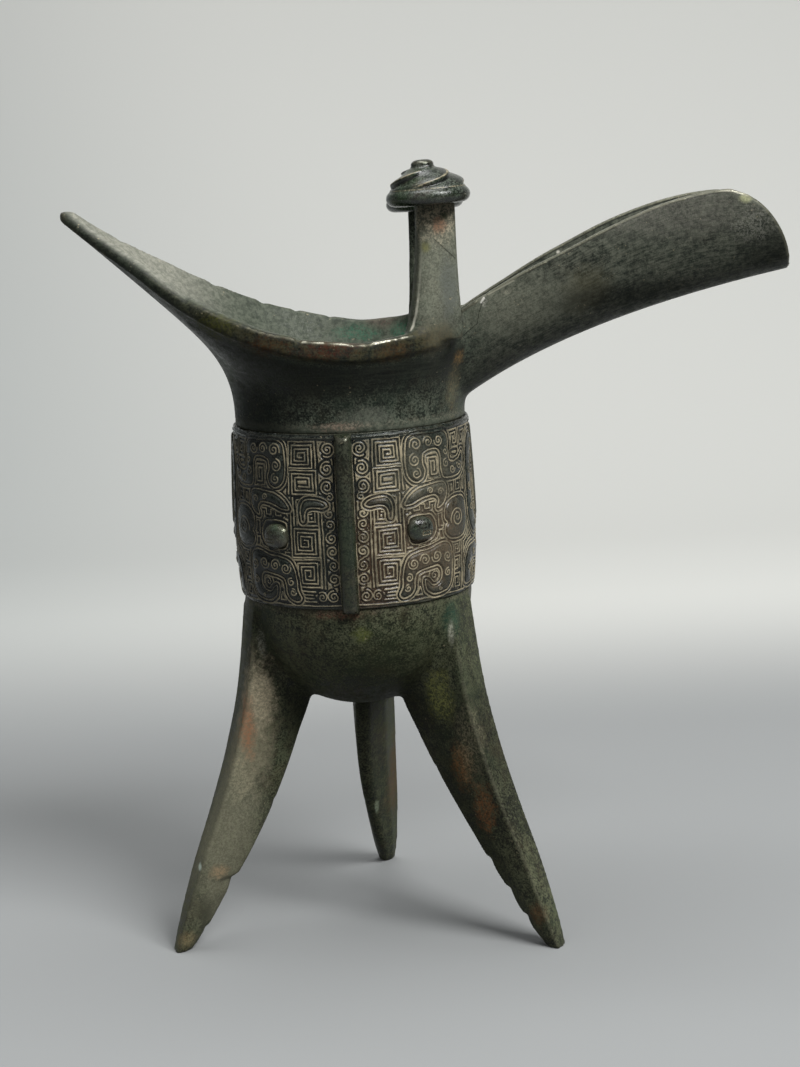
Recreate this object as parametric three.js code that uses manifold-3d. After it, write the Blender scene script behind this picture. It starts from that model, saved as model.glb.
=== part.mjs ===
// A bronze jue: a three-legged wine cup with a pouring spout, a pointed tail, two capped posts,
// a carved band with ridges and eye bosses, and a loop handle over the rear leg.
// Millimetres, +Z up. The cup's axis is upright; the spout points along +X and the handle along +Y.
// The finished group stands on z = 0 with the middle of its footprint at the origin.
import * as THREE from "three";
import { mergeVertices } from "three/addons/utils/BufferGeometryUtils.js";
import Module from "manifold-3d";

const wasm = await Module();
wasm.setup();

// Heights of the cup
const BOWL_CLEARANCE = 62.3; // ground to the underside of the bowl
const BOWL_DEPTH = 31; // underside of the bowl to the lower edge of the band
const BAND_HEIGHT = 44.5;
const SEAM_RISE = 1.7; // top of the band to the seam under the flared mouth
// Cup and band
const CUP_RADIUS = 29.9;
const WALL = 2.8;
const SPIGOT_HEIGHT = 3; // the cup's thin upper edge, inside the foot of the mouth
const SPIGOT_THICKNESS = 1.25;
const BAND_THICKNESS = 1.5;
const BAND_PROUD = 0.7; // how far the band's edges stand out from the cup
const BAND_BULGE = 1.0; // extra radius at the band's fullest height
const GAP = 0.3; // clearance between neighbouring pieces
// Mouth
const LIP_HEIGHT = 5.2;
const LIP_HEIGHT_AT_TAIL = 2.8;
const LIP_THICKNESS = 3.4;
const LIP_OVERHANG = 1.2;
const TAIL_CUT_X = -36; // where the tail is joined to the mouth
// Spout
const SPOUT_ROOT_HALF_WIDTH = 16.5;
const SPOUT_END_HALF_WIDTH = 13.8;
const SPOUT_REACH = 114.3;
const SPOUT_WALL = 2.6;
// Posts and caps. The far post is set a little nearer the tail and is lower than the near one.
const NEAR_POST_X = 24.2;
const FAR_POST_X = 22.6;
const POST_Y = 25;
const POST_HEIGHT = 53; // above the seam
const FAR_POST_DROP = 2.8;
const POST_WIDTH = 8.6;
const POST_BASE_WIDTH = 12.2;
const POST_DEPTH = 5.2;
const POST_YAW = 14; // degrees, turned with the rim
const CAP_X = 22.3;
const CAP_RADIUS = 10.4;
const CAP_HEIGHT = 10.9;
const TENON_HEIGHT = 4;
const TENON_RADIUS = 1.8;
// Ridges and eye bosses on the band
const RIDGE_WIDTH = 3.2;
const RIDGE_PROUD = 2.4;
const SIDE_RIDGE_WIDTH = 2.2;
const SIDE_RIDGE_PROUD = 0.8;
const SIDE_RIDGE_LENGTH = 24.5;
const EYE_WIDTH = 7.4;
const EYE_HEIGHT = 6.2;
const EYE_PROUD = 2.1;
const EYE_RISE = 18.8; // above the band's lower edge
const EYE_ANGLE = 35; // degrees either side of the mask's middle
// Legs
const LEG_TOP_DROP = 2.4; // from the band down to the legs' upper ends
const LEG_FOOT_RADIUS = 55.2;
const REAR_LEG_SKEW = 4; // how far the rear leg's thin edge leans towards the tail
const LEG_TOP_OUTER_WIDTH = 12.5;
const LEG_FOOT_WIDTH = 5.0;
// Handle
const HANDLE_REACH = 20; // how far the loop stands out from the band
const STRAP_TOP_DROP = 6; // where the strap's middle line leaves the cup, below the band's top
const STRAP_LOW_RISE = 5.2; // and where it comes back, above the band's lower edge
const STRAP_WIDTH = 9;
const STRAP_THICKNESS = 4.2;
const HEAD_WIDTH = 15;
const HORN_LENGTH = 9;
const HORN_THICKNESS = 4;
// Directions round the cup, in degrees from the spout
const BACK = 87;
const FRONT = BACK + 180;
const REAR_LEG_ANGLE = 86.4;
const TAIL_SIDE_LEG_ANGLE = 196.6;
const SPOUT_SIDE_LEG_ANGLE = 332.8;

const bandBase = BOWL_CLEARANCE + BOWL_DEPTH;
const bandTop = bandBase + BAND_HEIGHT;
const seam = bandTop + SEAM_RISE;
const radians = THREE.MathUtils.degToRad;

const bronze = new THREE.MeshStandardMaterial({ color: 0x4a4d40, roughness: 0.5, metalness: 0.7 });
const carved = new THREE.MeshStandardMaterial({ color: 0x6d6a5c, roughness: 0.65, metalness: 0.5 });
const worn = new THREE.MeshStandardMaterial({ color: 0x565144, roughness: 0.6, metalness: 0.6 });

// A closed mesh as a solid. The winding is turned when the faces point inwards.
function solidOf(geometry) {
  const bare = geometry.clone();
  bare.deleteAttribute("normal");
  bare.deleteAttribute("uv");
  const merged = mergeVertices(bare, 1e-4);
  const vertProperties = merged.attributes.position.array;
  const triVerts = new Uint32Array(merged.index.array);
  const made = new wasm.Manifold(new wasm.Mesh({ numProp: 3, vertProperties, triVerts }));
  if (made.volume() > 0) return made;
  for (let i = 0; i < triVerts.length; i += 3) {
    [triVerts[i + 1], triVerts[i + 2]] = [triVerts[i + 2], triVerts[i + 1]];
  }
  return new wasm.Manifold(new wasm.Mesh({ numProp: 3, vertProperties, triVerts }));
}

function meshOf(name, solid, material) {
  const { vertProperties, triVerts } = solid.getMesh();
  const geometry = new THREE.BufferGeometry();
  geometry.setAttribute("position", new THREE.BufferAttribute(new Float32Array(vertProperties), 3));
  geometry.setIndex(new THREE.BufferAttribute(new Uint32Array(triVerts), 1));
  const flat = geometry.toNonIndexed();
  flat.computeVertexNormals();
  const mesh = new THREE.Mesh(flat, material);
  mesh.name = name;
  return mesh;
}

// Skins rings of equal length. The ends are capped by fans to the given points, or the last
// ring joins the first when there are no end points.
function skin(rings, endPoints) {
  const count = rings[0].length;
  const points = rings.flat();
  const faces = [];
  const spans = endPoints ? rings.length - 1 : rings.length;
  for (let i = 0; i < spans; i++) {
    const here = i * count;
    const next = ((i + 1) % rings.length) * count;
    for (let j = 0; j < count; j++) {
      const k = (j + 1) % count;
      faces.push(here + j, here + k, next + k, here + j, next + k, next + j);
    }
  }
  if (endPoints) {
    const last = (rings.length - 1) * count;
    const [low, high] = [points.length, points.length + 1];
    points.push(...endPoints);
    for (let j = 0; j < count; j++) {
      const k = (j + 1) % count;
      faces.push(low, k, j, high, last + j, last + k);
    }
  }
  const geometry = new THREE.BufferGeometry().setFromPoints(points);
  geometry.setIndex(faces);
  return solidOf(geometry);
}

const middleOf = (ring) =>
  ring.reduce((sum, p) => sum.add(p), new THREE.Vector3()).divideScalar(ring.length);

const capped = (rings) => skin(rings, [middleOf(rings[0]), middleOf(rings.at(-1))]);

function turned(profile, segments) {
  const points = profile.map(([radius, height]) => new THREE.Vector2(radius, height));
  return solidOf(new THREE.LatheGeometry(points, segments).rotateX(Math.PI / 2));
}

function block(low, high) {
  const size = high.map((value, i) => value - low[i]);
  const geometry = new THREE.BoxGeometry(...size);
  geometry.translate(...low.map((value, i) => value + size[i] / 2));
  return solidOf(geometry);
}

// Moves a solid modelled round the spout's direction to another direction round the cup.
const facing = (solid, angle) => solid.rotate([0, 0, angle]);

// Outer radius of the band at a height above its lower edge
function bandRadius(rise) {
  const share = Math.min(Math.max(rise / BAND_HEIGHT, 0), 1);
  const fullness = Math.sin(Math.PI * Math.pow(share, 0.75));
  return CUP_RADIUS + BAND_PROUD + BAND_BULGE * fullness;
}

const BAND_STEPS = 5;
const bandHeights = Array.from({ length: BAND_STEPS + 1 }, (_, i) => (BAND_HEIGHT * i) / BAND_STEPS);

const CUP_SEGMENTS = 44;
const BOWL_STEPS = 6;

// Points of a quarter ellipse from the axis at its bottom to its full radius
function bowlCurve(radius, bottom, top) {
  return Array.from({ length: BOWL_STEPS + 1 }, (_, i) => {
    const angle = (Math.PI / 2) * (i / BOWL_STEPS);
    return [radius * Math.sin(angle), top - (top - bottom) * Math.cos(angle)];
  });
}

const spigotRadius = CUP_RADIUS - WALL + SPIGOT_THICKNESS;

// The deep cup, with a shallow seat all round for the carved band and a spigot for the mouth
function cup() {
  const outside = bowlCurve(CUP_RADIUS, BOWL_CLEARANCE, bandBase - GAP);
  const seat = bandHeights.map((rise) => [bandRadius(rise) - BAND_THICKNESS - GAP, bandBase + rise]);
  seat[0][1] -= GAP;
  seat[BAND_STEPS][1] += GAP;
  const innerRadius = CUP_RADIUS - WALL;
  const inside = bowlCurve(innerRadius, BOWL_CLEARANCE + WALL, bandBase).reverse();
  const rim = [
    [CUP_RADIUS, bandTop + GAP], [CUP_RADIUS, seam], [spigotRadius, seam],
    [spigotRadius, seam + SPIGOT_HEIGHT], [innerRadius, seam + SPIGOT_HEIGHT],
  ];
  return turned([...outside, ...seat, ...rim, ...inside], CUP_SEGMENTS);
}

// Everything inside the cup's and the band's outer surfaces, grown by a clearance
function cupEnvelope(clearance) {
  const outside = bowlCurve(CUP_RADIUS + clearance, BOWL_CLEARANCE - clearance, bandBase - clearance);
  const band = bandHeights.map((rise) => [bandRadius(rise) + clearance, bandBase + rise]);
  band[0][1] -= clearance;
  band[BAND_STEPS][1] += clearance;
  const collar = [[CUP_RADIUS + clearance, bandTop + clearance], [CUP_RADIUS + clearance, seam], [0, seam]];
  return turned([...outside, ...band, ...collar], CUP_SEGMENTS);
}

// The rim's outer edge on one side: distance along the spout's direction, half width, height above the seam
const RIM = [
  [-72, 0, 54.7],
  [-64, 7.6, 48.6],
  [-54, 15, 41.6],
  [-42, 23.4, 33.6],
  [-28, 31, 27],
  [-13, 35.6, 22.8],
  [2, 36, 21.2],
  [12, 33, 21.6],
  [20, 29.6, 22.8],
  [27, 24.6, 24.6],
  [32, 16.5, 26.4],
  [34, 0, 27],
];
const RIM_STATIONS = 60;
const NECK_STEPS = 5;

const rimPoint = ([x, y, rise], side) => new THREE.Vector3(x, y * side, seam + rise);
const rimCurve = new THREE.CatmullRomCurve3(
  [...RIM.map((p) => rimPoint(p, 1)), ...RIM.slice(1, -1).reverse().map((p) => rimPoint(p, -1))],
  true,
  "centripetal",
);

// A wall line in the upright plane through the axis, from the neck up to the rim
function wallLine(edge, neckRadius, reach, top) {
  const bearing = Math.atan2(edge.y, edge.x);
  const rise = top - seam;
  const line = new THREE.CubicBezierCurve(
    new THREE.Vector2(neckRadius, seam + GAP),
    new THREE.Vector2(neckRadius, seam + Math.min(17, rise * 0.5)),
    new THREE.Vector2(neckRadius + (reach - neckRadius) * 0.24, seam + rise * 0.46),
    new THREE.Vector2(reach, top),
  );
  return line
    .getPoints(NECK_STEPS)
    .map((p) => new THREE.Vector3(p.x * Math.cos(bearing), p.x * Math.sin(bearing), p.y));
}

function lipHeightAt(edge) {
  const towardsTail = THREE.MathUtils.smoothstep(-edge.x, 10, -RIM[0][0]);
  return THREE.MathUtils.lerp(LIP_HEIGHT, LIP_HEIGHT_AT_TAIL, towardsTail);
}

function wallSection(edge, clearance = 0) {
  const reach = Math.hypot(edge.x, edge.y);
  const out = new THREE.Vector3(edge.x / reach, edge.y / reach, 0);
  const lip = lipHeightAt(edge);
  const at = (radius, height) => out.clone().multiplyScalar(radius).setZ(height);
  const outer = wallLine(edge, CUP_RADIUS + clearance, reach - LIP_OVERHANG + clearance, edge.z - lip);
  return {
    outer: [...outer, at(reach + clearance, edge.z - lip + 0.6), at(reach + clearance, edge.z)],
    inner: wallLine(edge, CUP_RADIUS - WALL, reach - LIP_THICKNESS, edge.z),
  };
}

const rimEdges = rimCurve.getSpacedPoints(RIM_STATIONS).slice(0, RIM_STATIONS);

// The flared mouth with its tail, as one ring of wall with room for the cup's spigot
function mouthRing() {
  const sections = rimEdges.map((edge) => {
    const { outer, inner } = wallSection(edge);
    return [...outer, ...inner.reverse()];
  });
  const room = spigotRadius + GAP;
  const socket = turned(
    [[0, seam - 1], [room, seam - 1], [room, seam + SPIGOT_HEIGHT + GAP], [0, seam + SPIGOT_HEIGHT + GAP]],
    CUP_SEGMENTS,
  );
  return skin(sections).subtract(socket);
}

// An upright prism over the rim's outline, which trims the posts flush with the lip
function rimPrism() {
  const outline = new THREE.Shape(rimEdges.map((edge) => new THREE.Vector2(edge.x, edge.y)));
  const prism = new THREE.ExtrudeGeometry(outline, { depth: POST_HEIGHT + 20, bevelEnabled: false });
  return solidOf(prism.translate(0, 0, seam));
}

// Everything inside the mouth's outer surface, closed above and below by cones to the axis
function mouthEnvelope(clearance, peak) {
  const sections = rimEdges.map((edge) => wallSection(edge, clearance).outer);
  const levels = sections[0].map((_, level) => sections.map((section) => section[level]));
  levels.at(-1).forEach((p) => p.setZ(p.z + clearance));
  return skin(levels, [new THREE.Vector3(0, 0, seam - CUP_RADIUS), new THREE.Vector3(0, 0, peak)]);
}

// The spout's lines seen from the side: the keel below, the edge above and the rounded end
const plane = (x, rise) => new THREE.Vector2(x, seam + rise);
const keel = [plane(28.1, 1.5), plane(56.1, 21.2), plane(SPOUT_REACH, 32.2)];
const spoutEdge = [plane(29, 25.5), plane(75, 53.1), plane(100, 52.6)];

// Height of a quadratic curve at a distance along the spout, also past its ends
function heightAt([start, bend, end], x) {
  const a = start.x - 2 * bend.x + end.x;
  const b = 2 * (bend.x - start.x);
  const root = Math.sqrt(b * b - 4 * a * (start.x - x));
  const t = Math.abs(a) < 1e-9 ? (x - start.x) / b : (root - b) / (2 * a);
  return (1 - t) ** 2 * start.y + 2 * t * (1 - t) * bend.y + t * t * end.y;
}

const SPOUT_STATIONS = 14;
const SPOUT_SIDES = 10;

// A trough of half-round section, filled up to its edge. Inset gives the channel inside the wall.
function trough(fromX, toX, inset, extraTop) {
  const rings = [];
  for (let i = 0; i <= SPOUT_STATIONS; i++) {
    const x = THREE.MathUtils.lerp(fromX, toX, i / SPOUT_STATIONS);
    const along = (x - keel[0].x) / (SPOUT_REACH - keel[0].x);
    const half = THREE.MathUtils.lerp(SPOUT_ROOT_HALF_WIDTH, SPOUT_END_HALF_WIDTH, along) - inset;
    const low = heightAt(keel, x) + inset;
    const high = heightAt(spoutEdge, x);
    const ring = [];
    for (let j = 0; j <= SPOUT_SIDES; j++) {
      const angle = Math.PI * (j / SPOUT_SIDES - 0.5);
      const y = half * Math.sign(Math.sin(angle)) * Math.abs(Math.sin(angle)) ** 0.85;
      ring.push(new THREE.Vector3(x, y, low + (high - low) * (1 - Math.cos(angle))));
    }
    if (extraTop) {
      ring.push(new THREE.Vector3(x, half, high + extraTop), new THREE.Vector3(x, -half, high + extraTop));
    }
    rings.push(ring);
  }
  return capped(rings);
}

// The spout's outline from the side, as a slab that trims its rounded end
function spoutSideSlab() {
  const outline = new THREE.Shape();
  outline.moveTo(0, seam - 30);
  outline.lineTo(0, seam + 80);
  outline.lineTo(SPOUT_REACH - 20, seam + 80);
  outline.lineTo(SPOUT_REACH - 17, seam + 53.2);
  outline.bezierCurveTo(
    SPOUT_REACH - 6.5, seam + 52, SPOUT_REACH - 0.5, seam + 42.5, SPOUT_REACH + 0.3, seam + 31.8,
  );
  outline.lineTo(SPOUT_REACH + 0.3, seam - 30);
  const half = SPOUT_ROOT_HALF_WIDTH + 10;
  const slab = new THREE.ExtrudeGeometry(outline, { depth: 2 * half, bevelEnabled: false, curveSegments: 8 });
  return solidOf(slab.translate(0, 0, -half).rotateX(Math.PI / 2));
}

const spoutChannel = trough(4, SPOUT_REACH + 4, SPOUT_WALL, 30);

function spout() {
  return trough(24, SPOUT_REACH + 2, 0, 0)
    .subtract(spoutChannel)
    .intersect(spoutSideSlab())
    .subtract(mouthEnvelope(GAP, seam + 60));
}

function mouthAndTail() {
  const ring = mouthRing().subtract(spoutChannel);
  const far = 200;
  return {
    mouth: ring.intersect(block([TAIL_CUT_X + GAP / 2, -far, seam - far], [far, far, seam + far])),
    tail: ring.intersect(block([-far, -far, seam - far], [TAIL_CUT_X - GAP / 2, far, seam + far])),
  };
}

// A post, wider at its foot, cut to the rim that it stands on, with a tenon for its cap
function post({ x, side, top }) {
  const levels = [
    [seam + 21.5, POST_BASE_WIDTH + 0.8],
    [seam + 23.5, POST_BASE_WIDTH - 0.6],
    [seam + 28, POST_WIDTH + 1.4],
    [seam + 36, POST_WIDTH + 0.4],
    [top, POST_WIDTH],
  ];
  const rings = levels.map(([height, width]) => {
    const left = POST_WIDTH / 2 - width;
    const right = POST_WIDTH / 2;
    const half = POST_DEPTH / 2;
    const edge = 1.1;
    return [
      [left + edge, -half], [right - edge, -half], [right, -half + edge], [right, half - edge],
      [right - edge, half], [left + edge, half], [left, half - edge], [left, -half + edge],
    ].map(([u, v]) => new THREE.Vector3(u, v, height));
  });
  return capped(rings)
    .rotate([0, 0, -side * POST_YAW])
    .translate([x, side * POST_Y, 0])
    .intersect(lipOutline)
    .subtract(rimSeat)
    .subtract(spoutEnvelope)
    .add(tenon(side, top, 0));
}

function tenon(side, top, clearance) {
  const radius = TENON_RADIUS + clearance;
  const height = top + TENON_HEIGHT + clearance;
  const peg = turned([[0, top - 1], [radius, top - 1], [radius, height], [0, height]], 16);
  return peg.translate([CAP_X, side * POST_Y, 0]);
}

// The rounded cap with its rim roll, a domed crown of turning ribs and a low button
const CAP_SEGMENTS = 26;
const WHORLS = 4;

function cap({ side, top }) {
  const base = top + GAP;
  const crown = turned(
    [
      [0, base], [CAP_RADIUS - 1.5, base], [CAP_RADIUS - 0.2, base + 0.9], [CAP_RADIUS, base + 2],
      [CAP_RADIUS - 0.5, base + 3.2], [CAP_RADIUS - 1.5, base + 3.7], [CAP_RADIUS * 0.8, base + 5.1],
      [CAP_RADIUS * 0.62, base + 7.1], [CAP_RADIUS * 0.42, base + 8.6], [CAP_RADIUS * 0.36, base + 9.9],
      [CAP_RADIUS * 0.2, base + CAP_HEIGHT], [0, base + CAP_HEIGHT],
    ],
    CAP_SEGMENTS,
  );
  const ribs = Array.from({ length: WHORLS }, (_, i) => whorl(base, (360 * i) / WHORLS));
  return ribs
    .reduce((made, rib) => made.add(rib), crown)
    .translate([CAP_X, side * POST_Y, 0])
    .subtract(tenon(side, top, GAP));
}

// One raised rib that turns as it climbs the crown
function whorl(base, start) {
  const steps = 5;
  const rings = [];
  for (let i = 0; i <= steps; i++) {
    const share = i / steps;
    const angle = radians(start + 110 * share);
    const reach = CAP_RADIUS * THREE.MathUtils.lerp(0.82, 0.4, share);
    const height = base + THREE.MathUtils.lerp(4.4, 8.3, share);
    const out = new THREE.Vector3(Math.cos(angle), Math.sin(angle), 0);
    const size = THREE.MathUtils.lerp(1.2, 0.8, share);
    rings.push(
      [[-1, -1.2], [1, -1.2], [0.7, 0.35], [-0.7, 0.6]].map(([u, v]) =>
        out.clone().multiplyScalar(reach + u * size).setZ(height + v * size - u * size * 0.6),
      ),
    );
  }
  return capped(rings);
}

// The carved band, cut into four panels at the middle of each side
function bandRing() {
  const outer = bandHeights.map((rise) => [bandRadius(rise), bandBase + rise]);
  const inner = bandHeights.map((rise) => [bandRadius(rise) - BAND_THICKNESS, bandBase + rise]).reverse();
  return turned([...outer, ...inner, outer[0]], CUP_SEGMENTS);
}

// Upright bar along the band: proud of the panels, with a rounded face
function ridge(width, proud, length, top, angle) {
  const steps = 5;
  const rings = [];
  for (let i = 0; i <= steps; i++) {
    const height = top - length + (length * i) / steps;
    const face = bandRadius(height - bandBase) + proud;
    const back = bandRadius(height - bandBase) - BAND_THICKNESS;
    const half = width / 2;
    const section = [
      [back, -half], [face - 0.35 * width, -half], [face - 0.08 * width, -0.55 * half], [face, 0],
      [face - 0.08 * width, 0.55 * half], [face - 0.35 * width, half], [back, half],
    ];
    rings.push(section.map(([x, y]) => new THREE.Vector3(x, y, height)));
  }
  return facing(capped(rings), angle);
}

const ridges = {
  front_ridge: ridge(RIDGE_WIDTH, RIDGE_PROUD, BAND_HEIGHT, bandTop, FRONT),
  spout_side_ridge: ridge(SIDE_RIDGE_WIDTH, SIDE_RIDGE_PROUD, SIDE_RIDGE_LENGTH, bandTop, BACK - 90),
  tail_side_ridge: ridge(SIDE_RIDGE_WIDTH, SIDE_RIDGE_PROUD, SIDE_RIDGE_LENGTH, bandTop, BACK + 90),
};

// The rooms for the two short ridges in the band's panels
const ridgeRooms = [BACK - 90, BACK + 90].map((angle) => {
  const half = SIDE_RIDGE_WIDTH / 2 + GAP;
  const low = [CUP_RADIUS - 8, -half, bandTop - SIDE_RIDGE_LENGTH - GAP];
  return facing(block(low, [CUP_RADIUS + 8, half, bandTop + 5]), angle);
});

function bandPanels() {
  const ring = ridgeRooms.reduce((solid, room) => solid.subtract(room), bandRing());
  const seamHalf = GAP / 2;
  const ridgeHalf = RIDGE_WIDTH / 2 + GAP;
  const quarters = {
    rear_spout_panel: [BACK - 90, seamHalf, seamHalf],
    rear_tail_panel: [BACK, seamHalf, seamHalf],
    front_tail_panel: [BACK + 90, seamHalf, ridgeHalf],
    front_spout_panel: [FRONT, ridgeHalf, seamHalf],
  };
  const far = 2 * CUP_RADIUS;
  return Object.entries(quarters).map(([name, [from, startGap, endGap]]) => [
    name,
    ring.intersect(facing(block([endGap, startGap, bandBase - 1], [far, far, bandTop + 1]), from)),
  ]);
}

// A smooth pillow of an eye, resting on the band
function eyeBoss(angle) {
  const height = bandBase + EYE_RISE;
  const face = bandRadius(EYE_RISE);
  const ball = new THREE.SphereGeometry(1, 16, 10);
  const clear = face + GAP;
  ball.scale(EYE_PROUD - GAP, EYE_WIDTH / 2, EYE_HEIGHT / 2).translate(clear, 0, height);
  const backing = block([0, -EYE_WIDTH, height - EYE_HEIGHT], [clear, EYE_WIDTH, height + EYE_HEIGHT]);
  return facing(solidOf(ball).subtract(backing), angle);
}

const eyes = {
  front_tail_eye: FRONT - EYE_ANGLE,
  front_spout_eye: FRONT + EYE_ANGLE,
  rear_spout_eye: BACK - EYE_ANGLE,
  rear_tail_eye: BACK + EYE_ANGLE,
};

// A blade leg: height as a share of its top, how far the outer face draws in from the foot,
// reach of the inner edge, and how far the face has widened. Its foot is cut flat on the ground.
const LEG_TOP = bandBase - LEG_TOP_DROP;
const LEG_LINES = [
  [0, 0, 50.5, 0],
  [0.06, 1.6, 46, 0.25],
  [0.15, 4.2, 40.7, 0.45],
  [0.27, 8, 33.3, 0.62],
  [0.42, 13.2, 25.8, 0.76],
  [0.6, 18.6, 18.8, 0.9],
  [0.8, 22.8, 13, 1],
  [1, 25.2, 12.5, 1],
];

function leg({ angle, skew }) {
  const rings = LEG_LINES.map(([share, draw, inner, widening]) => {
    const height = LEG_TOP * share;
    const outer = LEG_FOOT_RADIUS - draw;
    const half = THREE.MathUtils.lerp(LEG_FOOT_WIDTH, LEG_TOP_OUTER_WIDTH, widening) / 2;
    const depth = outer - inner;
    const lean = skew * Math.sin(Math.PI * Math.min(share * 1.25, 1)) * 0.75;
    return [
      [outer, half - 0.9], [outer - 0.9, half], [inner + 0.45 * depth, half * 0.82 + lean * 0.4],
      [inner + 0.6, half * 0.34 + lean], [inner, lean], [inner + 0.6, -half * 0.34 + lean],
      [inner + 0.45 * depth, -half * 0.82 + lean * 0.4], [outer - 0.9, -half], [outer, -half + 0.9],
    ].map(([x, y]) => new THREE.Vector3(x, y, height));
  });
  return facing(capped(rings), angle).subtract(cupEnvelope(GAP));
}

// The strap handle behind the cup, and the beast's head that bites its upper end
function strapPath(grow) {
  const inside = CUP_RADIUS - 1;
  const far = bandRadius(BAND_HEIGHT / 2) + HANDLE_REACH - STRAP_THICKNESS / 2;
  const top = bandTop - STRAP_TOP_DROP;
  const low = bandBase + STRAP_LOW_RISE;
  const points = [
    [inside, top], [far - 9, top + 0.5], [far - 2, top - 5], [far, (top + low) / 2 + 2],
    [far - 3.5, low + 7], [far - 10, low + 1], [inside, low - 0.5],
  ];
  const bends = points.map(([x, z]) => new THREE.Vector3(x, 0, z));
  const curve = new THREE.CatmullRomCurve3(bends, false, "centripetal");
  const steps = 22;
  const section = [[-1, -0.4], [-0.6, -1], [0.6, -1], [1, -0.4], [1, 0.4], [0.6, 1], [-0.6, 1], [-1, 0.4]];
  const half = STRAP_WIDTH / 2 + grow;
  const thick = STRAP_THICKNESS / 2 + grow;
  const rings = curve.getSpacedPoints(steps).map((middle, i) => {
    const tangent = curve.getTangentAt(i / steps);
    const normal = new THREE.Vector3(tangent.z, 0, -tangent.x);
    return section.map(([u, v]) =>
      middle.clone().addScaledVector(normal, v * thick).add(new THREE.Vector3(0, u * half, 0)),
    );
  });
  return capped(rings);
}

const strap = strapPath(0).subtract(cupEnvelope(GAP));

// The head from the band outwards: distance from the band, share of the width, upper and lower
// height from the band's top. Growing it gives the room that its neighbours leave.
const HEAD_LINES = [
  [0.5, 0.7, 0, -6.5],
  [3, 1, 1.5, -9.5],
  [7.5, 0.95, 1.4, -11.5],
  [11.5, 0.72, 0.2, -13.5],
  [15, 0.58, -3, -15.5],
  [17.6, 0.52, -6.6, -16.4],
  [19.2, 0.4, -8.6, -15],
];
const HEAD_SIDES = 12;

function headForm(grow) {
  const face = bandRadius(BAND_HEIGHT);
  const rings = HEAD_LINES.map(([out, share, high, low], i) => {
    const half = (HEAD_WIDTH / 2) * share + grow;
    const middle = (high + low) / 2;
    const tall = (high - low) / 2 + grow;
    const end = i === 0 ? -grow : i === HEAD_LINES.length - 1 ? grow : 0;
    return Array.from({ length: HEAD_SIDES }, (_, j) => {
      const angle = (Math.PI * 2 * (j + 0.5)) / HEAD_SIDES;
      return new THREE.Vector3(
        face + out + end,
        half * Math.sign(Math.cos(angle)) * Math.abs(Math.cos(angle)) ** 0.7,
        bandTop + middle + tall * Math.sign(Math.sin(angle)) * Math.abs(Math.sin(angle)) ** 0.7,
      );
    });
  });
  return capped(rings);
}

// A horn that springs from the side of the head and curls up and back
function horn(side) {
  const out = bandRadius(BAND_HEIGHT) + 6.5;
  const root = new THREE.Vector3(out, side * (HEAD_WIDTH / 2 - 1.6), bandTop - 3);
  const bends = [[0, 0, 0], [-0.05, 0.32, 0.12], [-0.12, 0.5, 0.45], [-0.3, 0.38, 0.8], [-0.5, 0.12, 0.9]];
  const path = new THREE.CatmullRomCurve3(
    bends.map(([x, y, z]) => new THREE.Vector3(x, side * y, z).multiplyScalar(HORN_LENGTH).add(root)),
  );
  const steps = 8;
  const sides = 8;
  const frames = path.computeFrenetFrames(steps, false);
  const rings = path.getSpacedPoints(steps).map((middle, i) => {
    const radius = THREE.MathUtils.lerp(HORN_THICKNESS / 2, HORN_THICKNESS / 5, i / steps);
    return Array.from({ length: sides }, (_, j) => {
      const angle = (Math.PI * 2 * j) / sides;
      return middle
        .clone()
        .addScaledVector(frames.normals[i], radius * Math.cos(angle))
        .addScaledVector(frames.binormals[i], radius * Math.sin(angle));
    });
  });
  return capped(rings);
}

const postTop = seam + POST_HEIGHT;
const posts = {
  near: { x: NEAR_POST_X, side: -1, top: postTop },
  far: { x: FAR_POST_X, side: 1, top: postTop - FAR_POST_DROP },
};
const legs = {
  rear_leg: { angle: REAR_LEG_ANGLE, skew: REAR_LEG_SKEW },
  tail_side_leg: { angle: TAIL_SIDE_LEG_ANGLE, skew: 0 },
  spout_side_leg: { angle: SPOUT_SIDE_LEG_ANGLE, skew: 0 },
};
const headRoom = headForm(GAP);
const lipOutline = rimPrism();
const rimSeat = mouthEnvelope(GAP, seam + 26);
const spoutEnvelope = trough(18, SPOUT_REACH + 2, -GAP, 2).intersect(spoutSideSlab());

const vessel = new THREE.Group();
vessel.name = "jue";
const place = (name, solid, material) => vessel.add(meshOf(name, solid, material));

place("cup", cup(), bronze);
const { mouth, tail } = mouthAndTail();
place("mouth", mouth, bronze);
place("tail", tail, bronze);
place("spout", spout(), bronze);
for (const [name, stand] of Object.entries(posts)) {
  place(`${name}_post`, post(stand), bronze);
  place(`${name}_cap`, cap(stand), bronze);
}
bandPanels().forEach(([name, solid]) => place(name, solid, carved));
Object.entries(ridges).forEach(([name, solid]) => place(name, solid, bronze));
Object.entries(eyes).forEach(([name, angle]) => place(name, eyeBoss(angle), bronze));
Object.entries(legs).forEach(([name, stance]) => place(name, leg(stance), worn));
place("handle_strap", facing(strap, BACK), bronze);
const head = headForm(0).subtract(strapPath(GAP)).subtract(cupEnvelope(GAP));
place("handle_head", facing(head, BACK), bronze);
for (const [name, side] of [["spout_side_horn", -1], ["tail_side_horn", 1]]) {
  place(name, facing(horn(side).subtract(headRoom), BACK), bronze);
}

// The footprint's middle goes to the origin.
const reach = new THREE.Box3().setFromObject(vessel);
const centre = reach.getCenter(new THREE.Vector3());
vessel.position.set(-centre.x, -centre.y, -reach.min.z);
vessel.updateMatrixWorld(true);

export default vessel;
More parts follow.
